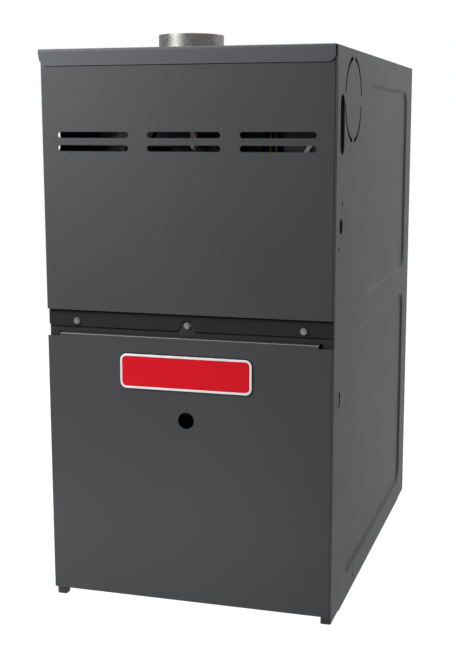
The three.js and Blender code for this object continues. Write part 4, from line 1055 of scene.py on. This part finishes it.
exchanger = dict(
    radius=22.25, wall=1.2, pitch=80, first=505, front=-75, rear=285, mouth=60,
    columns=(-135, -45, 45, 135), sides=28)


# Serpentine: four passes joined by half circles, with both mouths open
def makeTube(number, x):
    look = exchanger
    start = boxOf(f"heat_exchanger_tube_{number}")[0][1]
    turn = look["pitch"] / 2
    runs = [[(start, look["first"])], [(start + look["mouth"], look["first"])]]
    for passNumber, (y, sign) in enumerate(((look["rear"], 1), (look["front"], -1), (look["rear"], 1))):
        z = look["first"] + passNumber * look["pitch"] + turn
        runs.append(arc(y, z, turn, -90, -90 + sign * 180, 14))
    last = look["first"] + 3 * look["pitch"]
    runs += [[(start + look["mouth"], last)], [(start, last)]]
    y, z = np.vstack(runs).T
    path = np.stack([np.full(len(y), float(x)), y, z], axis=1)
    outer = ringsAlong(path, look["radius"], look["sides"])
    inner = ringsAlong(path, look["radius"] - look["wall"], look["sides"])[::-1]
    makePiece(
        f"exchangerTube{number}", [grid(np.vstack([outer, inner]), wrapRows=True, wrapColumns=True)],
        aluminised, replaces=[f"heat_exchanger_tube_{number}"], smooth=50)


for number, x in enumerate(exchanger["columns"], start=1):
    makeTube(number, x)
soften("tube_support", zinc, 0.4)
# Collector box in the darker copy of aluminised steel: painted shade
soften("collector_box", shadedAluminised, 0.8)
soften("burner_box", aluminised, 0.8)

burnerLook = dict(mouth=13.6, throat=9.6, head=19.0, wall=0.8)


# In-shot burner: bell mouth, narrow throat and a flame head with a flared lip
def makeBurner(number, x):
    look = burnerLook
    low, high = boxOf(f"burner_{number}")
    z = (low[2] + high[2]) / 2
    start, end = low[1], high[1]
    mouth, throat, head = look["mouth"], look["throat"], look["head"]
    outside = np.array([
        (mouth + 0.4, start + 0.3), (mouth - 0.2, start + 2), (12, start + 10), (throat + 0.5, start + 22),
        (throat + 0.4, start + 32), (11.4, start + 41), (15.4, start + 51), (18.2, start + 59),
        (head - 0.1, start + 66), (head - 0.1, end - 4), (head, end - 2), (head, end)])
    smoothOutside = curveThrough(np.column_stack([outside, np.zeros(len(outside))]), 66)[:, :2]
    insideWall = smoothOutside[::-1] - [look["wall"], 0]
    body = revolve(np.vstack([smoothOutside, insideWall]), "y", (x, 0, z), 40, closed=True)
    vane = prism(ribbon(arc(0, 0, 12, 0, 42, 8) + [x, z], 0.7), "y", end - 12, end - 1)
    retainer = around(vane, "y", 6, (x, 0, z))
    hub = revolve([(0, end - 12), (3, end - 12), (3, end - 2), (0, end - 1.5)], "y", (x, 0, z), 20)
    makePiece(
        f"burner{number}", [body, retainer, hub], aluminised,
        replaces=[f"burner_{number}"], smooth=50)


for number, x in enumerate(exchanger["columns"], start=1):
    makeBurner(number, x)

manifold = dict(radius=10.7, bend=30, riser=175, y=-290, straps=(-90, 90))


def makeManifold():
    low, high = boxOf("gas_manifold")
    z = exchanger["first"]
    y = manifold["y"]
    bend, riser = manifold["bend"], manifold["riser"]
    corner = arc(riser - bend, z + bend, bend, -90, 0, 12)
    xz = np.vstack([[(low[0] + 2, z)], [(0, z)], corner, [(riser, high[2])]])
    pipe = rod(np.column_stack([xz[:, 0], np.full(len(xz), y), xz[:, 1]]), manifold["radius"] - 0.5, 32)
    radius = manifold["radius"] + 2
    cap = revolve([
        (0, low[0]), (radius - 1.5, low[0]), (radius, low[0] + 1.5), (radius, low[0] + 13),
        (radius - 2, low[0] + 14), (0, low[0] + 14)], "x", (0, y, z), 40)
    end = high[2]
    coupling = revolve(
        [(0, end - 16), (11.4, end - 16), (11.4, end - 0.2), (0, end - 0.2)], "z", (riser, y, 0), 40)
    foot = boxOf("burner_box")[0][1] - 0.4
    strapLine = [(y, z + 10.6), (foot - 0.8, z + 10.6), (foot - 0.8, z - 16)]
    straps = [bentSheet(strapLine, 2.4, 1.6, "x", at - 8, at + 8) for at in manifold["straps"]]
    makePiece(
        "gasManifold", [pipe, cap, coupling], blackPipe, replaces=["gas_manifold"], smooth=45)
    makePiece("manifoldStraps", straps, zinc, bevel=0.3)
    tips = []
    for x in exchanger["columns"]:
        hexagon = hexHead(5.6, 6, 14, 0.5, 48)
        hexagon = facing["front"](hexagon.reshape(-1, 3)) * [1, -1, 1]
        verts, faces = grid(hexagon.reshape(6, 48, 3), wrapColumns=True)
        tip = revolve(
            [(0, y + 12), (4.4, y + 12), (4.2, y + 19), (2.8, y + 26.5), (0, y + 27.2)], "y", (x, 0, z), 28)
        tips += [(verts + [x, y, z], faces), tip]
    makePiece("gasOrifices", tips, brass, smooth=35)
    screwsAt("manifoldScrews", "front", [(at, foot - 1.7, z - 9) for at in manifold["straps"]], 0.8)


makeManifold()
soften("gas_valve_body", valvePaint, 1.0)


valveStrap = dict(outline=[(167.4, 692), (174.6, 692), (186.5, 713), (179.3, 713)], front=1.6, rear=0.4)


# Bare strap that leans across the valve's lower front
def makeValveStrap():
    front = boxOf("gas_valve_body")[0][1]
    strap = prism(valveStrap["outline"], "y", front - valveStrap["front"], front - valveStrap["rear"])
    makePiece("valveStrap", [strap], aluminised, bevel=0.2)


makeValveStrap()

# Gas valve's knob. Each level of its dial has a radius, a share of the ridges' height and a height.
knob = dict(
    ridge=0.35, ridges=24, depth=13,
    levels=[(0, 0, 0), (14, 0, 0), (14, 0, -4.4), (14, 0, -5), (11.3, 0, -6), (10.9, 1, -7), (10.6, 1, -13),
            (9.8, 0.3, -14), (0, 0, -14)])


def makeKnob():
    low, high = boxOf("gas_valve_knob")
    x, z = (low[0] + high[0]) / 2, (low[2] + high[2]) / 2
    base = high[1]
    angle = np.linspace(0, 2 * np.pi, 144, endpoint=False)
    ridge = knob["ridge"] * np.cos(angle * knob["ridges"])
    rings = []
    for radius, share, height in knob["levels"]:
        wavy = radius - knob["ridge"] * (share > 0) + share * ridge
        rings.append(place(wavy * np.cos(angle), wavy * np.sin(angle), base + height, "y"))
    dial = grid(np.stack(rings) + np.array([x, 0, z]), wrapColumns=True)
    grip = prism(roundedRect(x - 3, x + 3, z - 10, z + 10, 2.6, 8), "y", low[1], base - knob["depth"])
    makePiece(
        "valveKnob", [dial, grip], blackPlastic, "gas_valve_knob", ["gas_valve_knob"],
        bevel=0.4, smooth=40)


makeKnob()
soften("igniter", fireclay, 0.5)
soften("flame_sensor", fireclay, 0.4)
for part in ("left", "right"):
    soften(f"rollout_switch_{part}", blackPlastic, 0.3)
    soften(f"rollout_button_{part}", redPlastic, 0.4)
soften("limit_switch", drawnMetal("thermostatCan", "9b9ea0", roughness=0.34), 0.3)
soften("junction_box", zinc, 0.5)
soften("junction_box_cover", zinc, 0.3)


pressureSwitch = dict(x=-150, z=640, ribs=12)


def makePressureSwitch():
    face = boxOf("pressure_switch")[1][1]
    x, z = pressureSwitch["x"], pressureSwitch["z"]
    can = revolve([
        (0, face - 30), (8.5, face - 30), (10, face - 29), (11.6, face - 20.5), (14, face - 18.6),
        (25.6, face - 18), (27.6, face - 16.6), (28, face - 14.6), (28, face - 8.6), (26.6, face - 7),
        (22.6, face - 5.4), (22, face - 4), (22, face), (0, face)], "y", (x, 0, z), 72)
    rib = block(x - 0.7, x + 0.7, face - 19.4, face - 17, z + 13, z + 24.5)
    ribs = around(rib, "y", pressureSwitch["ribs"], (x, 0, z))
    barb = revolve([
        (0, z + 20), (2.6, z + 20), (2.6, z + 31), (3, z + 31.4), (2.3, z + 34.6), (2.6, z + 35),
        (1.9, z + 40), (0, z + 40)], "z", (x + 10, face - 12, 0), 24)
    makePiece(
        "pressureSwitch", [can, ribs, barb], blackPlastic,
        replaces=["pressure_switch"], bevel=0.25)


makePressureSwitch()
soften("inducer_housing", housingPaint, 1.2, 42)
soften("inducer_wheel", zinc, 0.2)
soften("inducer_shaft", shaftSteel, 0.3, 50)
soften("inducer_cooling_fan", blackPlastic, 0.3, 50)

inducerMotor = dict(y=-226.2, half=32, front=-76.8, rear=-52.8, plates=16, step=0.25, bolt=26)


# Iron core: rounded plates side by side, every other one a little smaller
def coreOf(x0, x1, z0, z1, radius, steps, depths, step):
    plates = []
    for i, (start, end) in enumerate(zip(depths[:-1], depths[1:])):
        inset = step * (i % 2)
        outline = roundedRect(x0 + inset, x1 - inset, z0 + inset, z1 - inset, radius, steps)
        plates.append(prism(outline, "y", start, end))
    return plates


# Shaded-pole motor: a stack of iron plates, two end bells, a copper coil and four bolts
def makeInducerMotor():
    low, high = boxOf("inducer_wheel")
    x, z = (low[0] + high[0]) / 2, (low[2] + high[2]) / 2
    look = inducerMotor
    y = look["y"]
    half = look["half"]
    front, rear = y + look["front"], y + look["rear"]
    depths = np.linspace(front, rear, look["plates"] + 1)
    plates = coreOf(x - half, x + half, z - half, z + half, 5, 6, depths, look["step"])
    makePiece("inducerStack", plates, laminations, replaces=["inducer_motor"], smooth=30)
    bells = [
        revolve(profile, "y", (x, 0, z), 56, closed=True) for profile in (
            [(5, front - 9), (13, front - 9), (14.5, front - 8.4), (22, front - 5), (23.6, front - 3),
             (24, front), (5, front)],
            [(5, rear), (24, rear), (23.6, rear + 3.4), (22, rear + 6), (14, rear + 7.8), (5, rear + 8)])]
    makePiece("inducerBells", bells, housingPaint, smooth=40)
    coil = prism(roundedRect(x - 21.5, x + 21.5, z - 48, z - 27, 6, 8), "y", front - 6, rear + 6)
    makePiece("inducerCoil", [coil], copper, bevel=2.4, smooth=40)
    flanges = [
        prism(roundedRect(x - 24, x + 24, z - 48, z - 24, 3, 6), "y", a, a + 1.4)
        for a in (front - 6.4, rear + 5)]
    makePiece("inducerBobbin", flanges, blackPlastic, bevel=0.3)
    bolt = look["bolt"]
    bolts = [(x + i, z + j) for i in (-bolt, bolt) for j in (-bolt, bolt)]
    posts = [rod([(i, rear - 1, j), (i, y - 31.2, j)], 3, 20) for i, j in bolts]
    makePiece("inducerPosts", posts, shaftSteel, bevel=0.2)
    screwsAt("inducerMotorScrews", "front", [(i, front, j) for i, j in bolts], 0.72)


makeInducerMotor()
print("burner compartment made")

blower = dict(
    centre=(0, 20, 240), half=106.8, start=140, growth=0.091, first=120, last=360, offset=1.6, bell=112.4,
    throat=100.4, left=-80)
scrollTop = boxOf("blower_scroll")[1][2] - blower["centre"][2]


# Logarithmic spiral r = start e^(growth a), led up to the deck at both ends
def scrollLine(offset, steps=90):
    turned = np.radians(np.linspace(0, blower["last"] - blower["first"], steps + 1))
    angle = math.radians(blower["first"]) + turned
    radius = blower["start"] * np.exp(blower["growth"] * turned) + offset
    spiral = np.stack([radius * np.cos(angle), radius * np.sin(angle)], axis=1)
    rise = np.linspace(0, 1, 6)[1:, None]
    end = np.array([spiral[-1, 0], scrollTop])
    begin = np.array([blower["left"] - offset, scrollTop])
    return np.vstack([begin, spiral, spiral[-1] + (end - spiral[-1]) * rise])


def makeScroll():
    centre = np.array(blower["centre"][1:])
    wrap = prism(ribbon(scrollLine(0), sheet) + centre, "x", -blower["half"], blower["half"])
    makePiece("blowerScroll", [wrap], zinc, replaces=["blower_scroll"], bevel=0.2, smooth=30)


# Side plate: rings that run from the bell's throat out to the spiral edge, and back along its inner face
def makeSide(sign, node):
    inner = blower["half"] + 0.4
    outer = inner + sheet
    angle = np.linspace(-np.pi, np.pi, 240, endpoint=False)
    line = scrollLine(blower["offset"], 240)
    line = np.vstack([line, np.linspace(line[-1], line[0], 80)[1:-1]])
    lineAngle = np.arctan2(line[:, 1], line[:, 0])
    order = np.argsort(lineAngle)
    edge = np.interp(angle, lineAngle[order], np.hypot(*line.T)[order], period=2 * np.pi)
    mouth = arc(blower["bell"] + 0.6, outer - 9.0, 9.0, 180, 90, 10)
    mouth[:, 0] = blower["throat"] + (mouth[:, 0] - mouth[0, 0]) * 12 / 9
    profile = [(r, h) for r, h in mouth] + [(edge, outer), (edge, inner)] + [
        (r + 1.0, max(h - sheet, inner - 6.2)) for r, h in mouth[::-1]]
    rings = np.stack([
        place(np.minimum(r, edge) * np.cos(angle), np.minimum(r, edge) * np.sin(angle), sign * h, "x")
        for r, h in profile])
    plate = grid(rings + np.array(blower["centre"]), wrapRows=True, wrapColumns=True)
    y, z = blower["centre"][1:]
    low, high = sorted([sign * (outer - sheet), sign * (outer + 20)])
    flange = block(low, high, y - 80, y + 204, z + scrollTop - sheet, z + scrollTop)
    makePiece(node + "_plate", [plate], zinc, replaces=[node], smooth=36)
    makePiece(node + "_flange", [flange], zinc, bevel=0.3)


wheel = dict(blades=44, inner=104, outer=124, ring=126, half=100, thickness=0.7, sweep=7.5)


def makeWheel():
    look = wheel
    centre = np.array(blower["centre"], float)
    share = np.linspace(0, 1, 9)
    inner, outer, ring, half = look["inner"], look["outer"], look["ring"], look["half"]
    radius = inner + (outer - inner) * share
    sweep = np.radians(look["sweep"] * share ** 1.7)
    curve = np.stack([radius * np.cos(sweep), radius * np.sin(sweep)], axis=1)
    blade = prism(ribbon(curve, look["thickness"]) + centre[1:], "x", -half + 1.5, half - 1.5)
    blades = around(blade, "x", look["blades"], centre)
    rings = [
        revolve([
            (inner - 0.6, at), (ring - 0.6, at), (ring, at + 0.6), (ring, at + 2.4), (ring - 0.6, at + 3),
            (inner - 0.6, at + 3)], "x", centre, 120, closed=True)
        for at in (-half, half - 3)]
    disc = revolve([
        (0, -1), (30, -1), (34, -3), (60, -3), (66, -1), (113.5, -1), (113.5, 1), (66, 1), (60, -1),
        (34, -1), (30, 1), (0, 1)], "x", centre, 96)
    hub = revolve(
        [(6.85, -22), (16.8, -22), (18, -20.8), (18, 20.8), (16.8, 22), (6.85, 22)],
        "x", centre, 48, closed=True)
    makePiece("blowerWheelBlades", [blades], zinc, "blower_rotor", ["blower_wheel"], smooth=40)
    makePiece("blowerWheelRings", [*rings, disc, hub], zinc, "blower_rotor", smooth=40)
    low, high = boxOf("blower_shaft")
    start, end = low[0], high[0]
    shaft = revolve(
        [(0, start), (5.6, start), (6.35, start + 0.8), (6.35, end - 0.8), (5.6, end), (0, end)],
        "x", centre, 36)
    makePiece("blowerShaft", [shaft], shaftSteel, "blower_rotor", ["blower_shaft"], smooth=40)


blowerMotor = dict(radius=70, vents=12, bolts=58)


def makeMotor():
    centre = np.array(blower["centre"], float)
    low, high = boxOf("blower_motor")
    start, end = low[0], high[0]
    radius, reach = blowerMotor["radius"], blowerMotor["bolts"]
    shell = revolve([
        (7, start), (17, start), (18, start + 1), (18.6, start + 5.4), (20, start + 6), (50, start + 6.4),
        (57, start + 7.4), (65, start + 10.6), (68.6, start + 13), (radius, start + 17), (radius, end - 12),
        (68.6, end - 7), (64, end - 3.4), (56, end - 0.6), (52, end), (24, end), (22, end - 1.5),
        (7, end - 1.5)], "x", centre, 120, closed=True)
    vent = prism(roundedRect(34, 50, -3.2, 3.2, 3.1, 8) + centre[1:], "x", end - 6, end + 2)
    vents = around(vent, "x", blowerMotor["vents"], centre)
    makePiece(
        "blowerMotor", [shell], motorPaint, replaces=["blower_motor"], cutters=[vents],
        bevel=0.4, smooth=40)
    bolts = [
        (end - 1.2, centre[1] + reach * math.cos(a), centre[2] + reach * math.sin(a)) for a in diagonals]
    screwsAt("motorBolts", "right", bolts, 0.8)


makeScroll()
makeSide(1, "blower_side_right")
makeSide(-1, "blower_side_left")
makeWheel()
makeMotor()
soften("motor_mount", zinc, 0.4, 42)


# Run capacitor: inset of the outline and height at each ring of the can
capacitor = dict(
    corner=20.6, terminals=(150, 184),
    rings=((1.2, 0), (0.2, 0.4), (0, 1.4), (0, 78), (0.4, 79), (0.1, 80), (0, 81.6), (0.5, 82.8), (1.4, 83),
           (2, 82), (2.2, 80.6)))


def makeCapacitor():
    low, high = boxOf("run_capacitor")
    x0, x1 = low[0], high[0]
    y0, y1 = low[1], high[1]
    z0 = low[2]
    rings = []
    for inset, rise in capacitor["rings"]:
        corner = capacitor["corner"] - inset
        outline = roundedRect(x0 + inset, x1 - inset, y0 + inset, y1 - inset, corner, 14)
        rings.append(place(*outline.T, z0 + rise, "z"))
    makePiece(
        "capacitorCan", [capped(np.stack(rings))], aluminised, replaces=["run_capacitor"],
        smooth=45)
    x = (x0 + x1) / 2
    studs = [prism(circle(x, y, 5, 28), "z", z0 + 80.4, z0 + 84) for y in capacitor["terminals"]]
    makePiece("capacitorStuds", studs, blackPlastic, bevel=0.4)
    blades = [block(x - 3, x + 3, y - 0.4, y + 0.4, z0 + 83, high[2]) for y in capacitor["terminals"]]
    makePiece("capacitorBlades", blades, brass, bevel=0.2)


makeCapacitor()
print("blower made")

soften("control_bracket", zinc, 0.3)
soften("door_switch_body", blackPlastic, 0.4)
soften("door_switch_plunger", redPlastic, 0.4, 50)

board = dict(
    x=(-120, 60), z=(262, 362), face=-183, thickness=1.6, postColumns=(-112, 52), postRows=(270, 354),
    relays=(-60, -32, 20), terminalPitch=(13, 9.2), headerPitch=12,
    drums=((-78, 306), (6, 312), (44, 330), (-78, 334)),
    chips=((-50, 16, 296, 16), (-22, 12, 300, 8), (6, 20, 288, 8), (-84, 9, 288, 6), (36, 12, 300, 12)))


# Control board: varnished plate on posts, relays, screw terminals, header, chips, tabs and a lamp
def makeBoard():
    face = board["face"]
    (x0, x1), (z0, z1) = board["x"], board["z"]
    makePiece(
        "boardPlate", [block(x0, x1, face, face + board["thickness"], z0, z1)], green,
        replaces=["control_board"], bevel=0.2)
    rear = boxOf("control_board")[1][1]
    posts = [
        rod([(x, face + 1, z), (x, rear, z)], 3, 16)
        for x in board["postColumns"] for z in board["postRows"]]
    makePiece("boardPosts", posts, whitePlastic, bevel=0.3)
    relays = [block(x, x + 22, face - 17, face, 322, 350) for x in board["relays"]]
    makePiece("boardRelays", relays, bluePlastic, bevel=0.8)
    strip = [block(-118, -92, face - 13.6, face, 300, 350)]
    across, up = board["terminalPitch"]
    steps = [(across * i, up * k) for i in range(2) for k in range(5)]
    wells = [block(-115.5 + i, -107.5 + i, face - 15, face - 9, 303 + k, 309.5 + k) for i, k in steps]
    makePiece("boardTerminals", strip, blackPlastic, cutters=wells, bevel=0.3)
    screwsAt("boardTerminalScrews", "front", [(-111.5 + i, face - 9.4, 306.2 + k) for i, k in steps], 0.5)
    header = [block(-80, 40, face - 9.6, face, 266, 278)]
    steps = [board["headerPitch"] * i for i in range(10)]
    slits = [block(-77 + i, -68 + i, face - 11, face - 3, 268.4, 275.6) for i in steps]
    makePiece("boardHeader", header, whitePlastic, cutters=slits, bevel=0.3)
    chips = [block(x, x + width, face - 3, face, z, z + height) for x, width, z, height in board["chips"]]
    makePiece("boardChips", chips, blackPlastic, bevel=0.4)
    drum = [
        (0, face - 12), (4.4, face - 12), (5, face - 11.4), (5, face - 1.6), (4.6, face - 1.2),
        (5, face - 0.6), (5, face), (0, face)]
    drums = [revolve(drum, "y", (x, 0, z), 36) for x, z in board["drums"]]
    makePiece("boardCapacitors", drums, carbide, smooth=40)
    tabs = [block(x, x + 6.3, face - 8, face, 354.5, 355.3) for x in range(-84, 50, 13)]
    makePiece("boardTabs", tabs, brass, bevel=0.15)
    lamp = revolve(
        [(0, face - 7), (1.4, face - 6.7), (2.3, face - 5.4), (2.5, face - 4), (2.5, face), (0, face)],
        "y", (0, 0, 302.5), 24)
    makePiece("boardLamp", [lamp], redPlastic, smooth=60)


makeBoard()


# Outlines as left, right, bottom and top
transformer = dict(
    core=(-160, -104, 384, 432), winding=(-146, -118, 394, 422), bobbin=(-148, -116, 392, 424),
    foot=(-166, -98, 388, 428), straps=(-162, -106), coreFront=34, coreRear=10, plates=14, step=0.3)


# Transformer: iron core, bobbin, copper winding and a bracket
def makeTransformer():
    look = transformer
    rear = boxOf("transformer")[1][1]
    depths = np.linspace(rear - look["coreFront"], rear - look["coreRear"], look["plates"] + 1)
    plates = coreOf(*look["core"], 1.5, 3, depths, look["step"])
    makePiece("transformerCore", plates, laminations, replaces=["transformer"], smooth=30)
    coil = prism(roundedRect(*look["winding"], 5, 8), "y", rear - 46, rear - 3)
    makePiece("transformerWinding", [coil], copper, bevel=1.2)
    ends = [prism(roundedRect(*look["bobbin"], 3, 6), "y", a, a + 1.4) for a in (rear - 48, rear - 3.4)]
    makePiece("transformerBobbin", ends, blackPlastic, bevel=0.3)
    foot = prism(roundedRect(*look["foot"], 3, 5), "y", rear - 1.6, rear)
    straps = [block(a, a + 4, rear - 30, rear - 1, 390, 426) for a in look["straps"]]
    makePiece("transformerBracket", [foot, *straps], zinc, bevel=0.4)


makeTransformer()
print("controls made")

# Wires and hose follow the routes of the CAD parts
wires = dict(radius=0.9, loom=4.5, hose=3.0)


def makeWire(name, node, points, radius, finish, steps=160, sides=14):
    body = rod(curveThrough(points, steps), radius, sides)
    makePiece(name, [body], finish, replaces=[node], smooth=60)


def yellowRoute(shift, throughX, throughY, end):
    return [
        (139, -313 + shift, 752 - shift), (134, -313 + shift, 752 - shift),
        (125 + shift, -331, 740), (125 + shift, -335, 715), (125 + shift, -335, 690),
        (116 + shift, -334, 650), (80, -332, 618 - shift), (0, -330, 606 - shift),
        (-90, -320, 580 - shift), (-146 + shift, -292, 540), (throughX + 6, throughY - 12, 495),
        (throughX, throughY, 462), (throughX, throughY, 440), (throughX + shift, throughY + 14, 400),
        (-168 + 1.5 * shift, throughY + 38, 360 - 1.5 * shift), (-148 + shift / 2, -194, end + 3),
        (-119, -190, end)]


redRoute = [
    (-7.5, -300, 758), (-14, -304, 760), (-8, -330, 764), (8, -342, 752), (16, -344, 724), (16, -344, 704),
    (6, -340, 684), (-24, -326, 672), (-70, -290, 680), (-110, -250, 694), (-148, -222, 706),
    (-198, -220, 705), (-208, -222, 680), (-206, -236, 600), (-190, -238, 500), (-182, -241, 462),
    (-182, -241, 440),
    (-184, -232, 395), (-174, -210, 345), (-146, -194, 320), (-119, -190, 318)]
loomRoute = [
    (-195, -285, 554), (-195, -283, 535), (-193, -268, 500), (-189.5, -254, 470), (-189.5, -253, 445),
    (-196, -246, 426), (-199, -228, 414), (-188, -210, 408), (-167, -204, 408)]
hoseRoute = [
    (-140, -152.4, 681), (-140, -152.4, 687), (-132, -178, 694), (-118, -213, 699), (-96, -233, 712),
    (-84, -243, 728), (-78, -246, 743), (-70, -247, 750), (-63.5, -247, 750)]
thin = wires["radius"]
for number, route in enumerate((yellowRoute(0, -178, -256, 342), yellowRoute(8, -175, -249, 332)), start=1):
    makeWire(f"yellowWire{number}", f"wire_yellow_{number}", route, thin, yellowJacket)
makeWire("redWire", "wire_red", redRoute, thin, redJacket)
makeWire("wireLoom", "wire_loom", loomRoute, wires["loom"], rubberAndShade, 90, 20)
makeWire("pressureHose", "pressure_hose", hoseRoute, wires["hose"], rubberAndShade, 80, 18)
print("wires made")

# Camera: the photograph's viewpoint, found from the cabinet's corners
view = dict(
    place=(0.56178, -1.9627, 0.73196), turn=0.2847, down=0.1713, lens=63.93, sensor=36,
    shift=(-0.0244, 0.0039), far=60)


def makeCamera():
    data = bpy.data.cameras.new("camera")
    data.lens = view["lens"]
    data.sensor_width = view["sensor"]
    data.shift_x, data.shift_y = view["shift"]
    data.clip_end = view["far"]
    camera = bpy.data.objects.new("camera", data)
    camera.location = view["place"]
    camera.rotation_euler = (math.pi / 2 - view["down"], 0, view["turn"])
    bpy.context.scene.collection.objects.link(camera)
    bpy.context.scene.camera = camera


lamps = {
    "key": dict(place=(-0.62, -0.95, 1.15), aim=(-0.15, -0.35, 0.85), size=(0.5, 0.5), power=12.3),
    "low": dict(place=(-0.15, -0.68, 0.04), aim=(-0.1, -0.35, 0.03), size=(0.7, 0.06), power=0.65),
    "rear": dict(place=(1.3, 1.1, 1.7), aim=(0.22, 0.2, 0.5), size=(0.9, 0.9), power=24),
    "top": dict(place=(-0.3, 0.4, 3.0), aim=(-0.1, 0, 0.4), size=(0.9, 1.6), power=30)}


def makeLamp(name, look):
    data = bpy.data.lights.new(name, "AREA")
    data.shape = "RECTANGLE"
    data.size, data.size_y = look["size"]
    data.energy = look["power"]
    lamp = bpy.data.objects.new(name, data)
    place, aim = np.array(look["place"]), np.array(look["aim"])
    lamp.location = place
    x, y, z = place - aim
    lamp.rotation_euler = (math.atan2(math.hypot(x, y), z), 0, math.atan2(x, -y))
    bpy.context.scene.collection.objects.link(lamp)


studio = dict(air=0.14, floorSize=30.0, shadow=0.3, glow=1.4, dark="c8c8c8", light="cecece")


# White to the camera, to gloss and to glass; a plain soft light for everything else
def makeWorld():
    world = bpy.data.worlds.new("studio")
    world.use_nodes = True
    bpy.context.scene.world = world
    tree = world.node_tree
    tree.nodes.clear()
    path = tree.nodes.new("ShaderNodeLightPath")
    blend = tree.nodes.new("ShaderNodeMapRange")
    blend.inputs["To Min"].default_value = studio["air"]
    blend.inputs["To Max"].default_value = 1.0
    shown = path.outputs["Is Camera Ray"]
    for ray in ("Is Glossy Ray", "Is Transmission Ray"):
        either = tree.nodes.new("ShaderNodeMath")
        either.operation = "MAXIMUM"
        tree.links.new(shown, either.inputs[0])
        tree.links.new(path.outputs[ray], either.inputs[1])
        shown = either.outputs[0]
    tree.links.new(shown, blend.inputs["Value"])
    light = tree.nodes.new("ShaderNodeBackground")
    light.inputs["Color"].default_value = (1, 1, 1, 1)
    tree.links.new(blend.outputs[0], light.inputs["Strength"])
    output = tree.nodes.new("ShaderNodeOutputWorld")
    tree.links.new(light.outputs[0], output.inputs["Surface"])


# Floor: pale, a little brighter to the camera, and it keeps the cabinet's shadow
def makeFloor():
    s = Shader("studioFloor")
    mottle = s.noise(1.5, 2)
    base = s.mix(mottle, colour(studio["dark"]), colour(studio["light"]))
    matt = s.node("ShaderNodeBsdfDiffuse", {}, {"Color": base})
    glow = s.node("ShaderNodeEmission", {}, {"Color": (1, 1, 1, 1), "Strength": studio["glow"]})
    kinds = ("Camera", "Glossy", "Transmission")
    rays = [s.node("ShaderNodeLightPath", output=f"Is {kind} Ray") for kind in kinds]
    shown = rays[0].math("MAXIMUM", rays[0].math("MAXIMUM", rays[0], rays[1]), rays[2])
    blended = s.node("ShaderNodeMixShader", {}, {0: shown * (1 - studio["shadow"]), 1: matt, 2: glow})
    s.end(blended)
    half = studio["floorSize"] / 2
    points = place(np.linspace(-half, half, 3)[:, None], np.linspace(-half, half, 3)[None], 0.0, "z")
    verts, faces = grid(points)
    mesh = bpy.data.meshes.new("floor")
    mesh.from_pydata(verts.tolist(), [], faces)
    floor = bpy.data.objects.new("floor", mesh)
    mesh.materials.append(s.material)
    bpy.context.scene.collection.objects.link(floor)
    floor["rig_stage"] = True


makeCamera()
for name, look in lamps.items():
    makeLamp(name, look)
makeWorld()
makeFloor()
bpy.context.scene.view_settings.view_transform = "Standard"
print("studio made")

low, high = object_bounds()
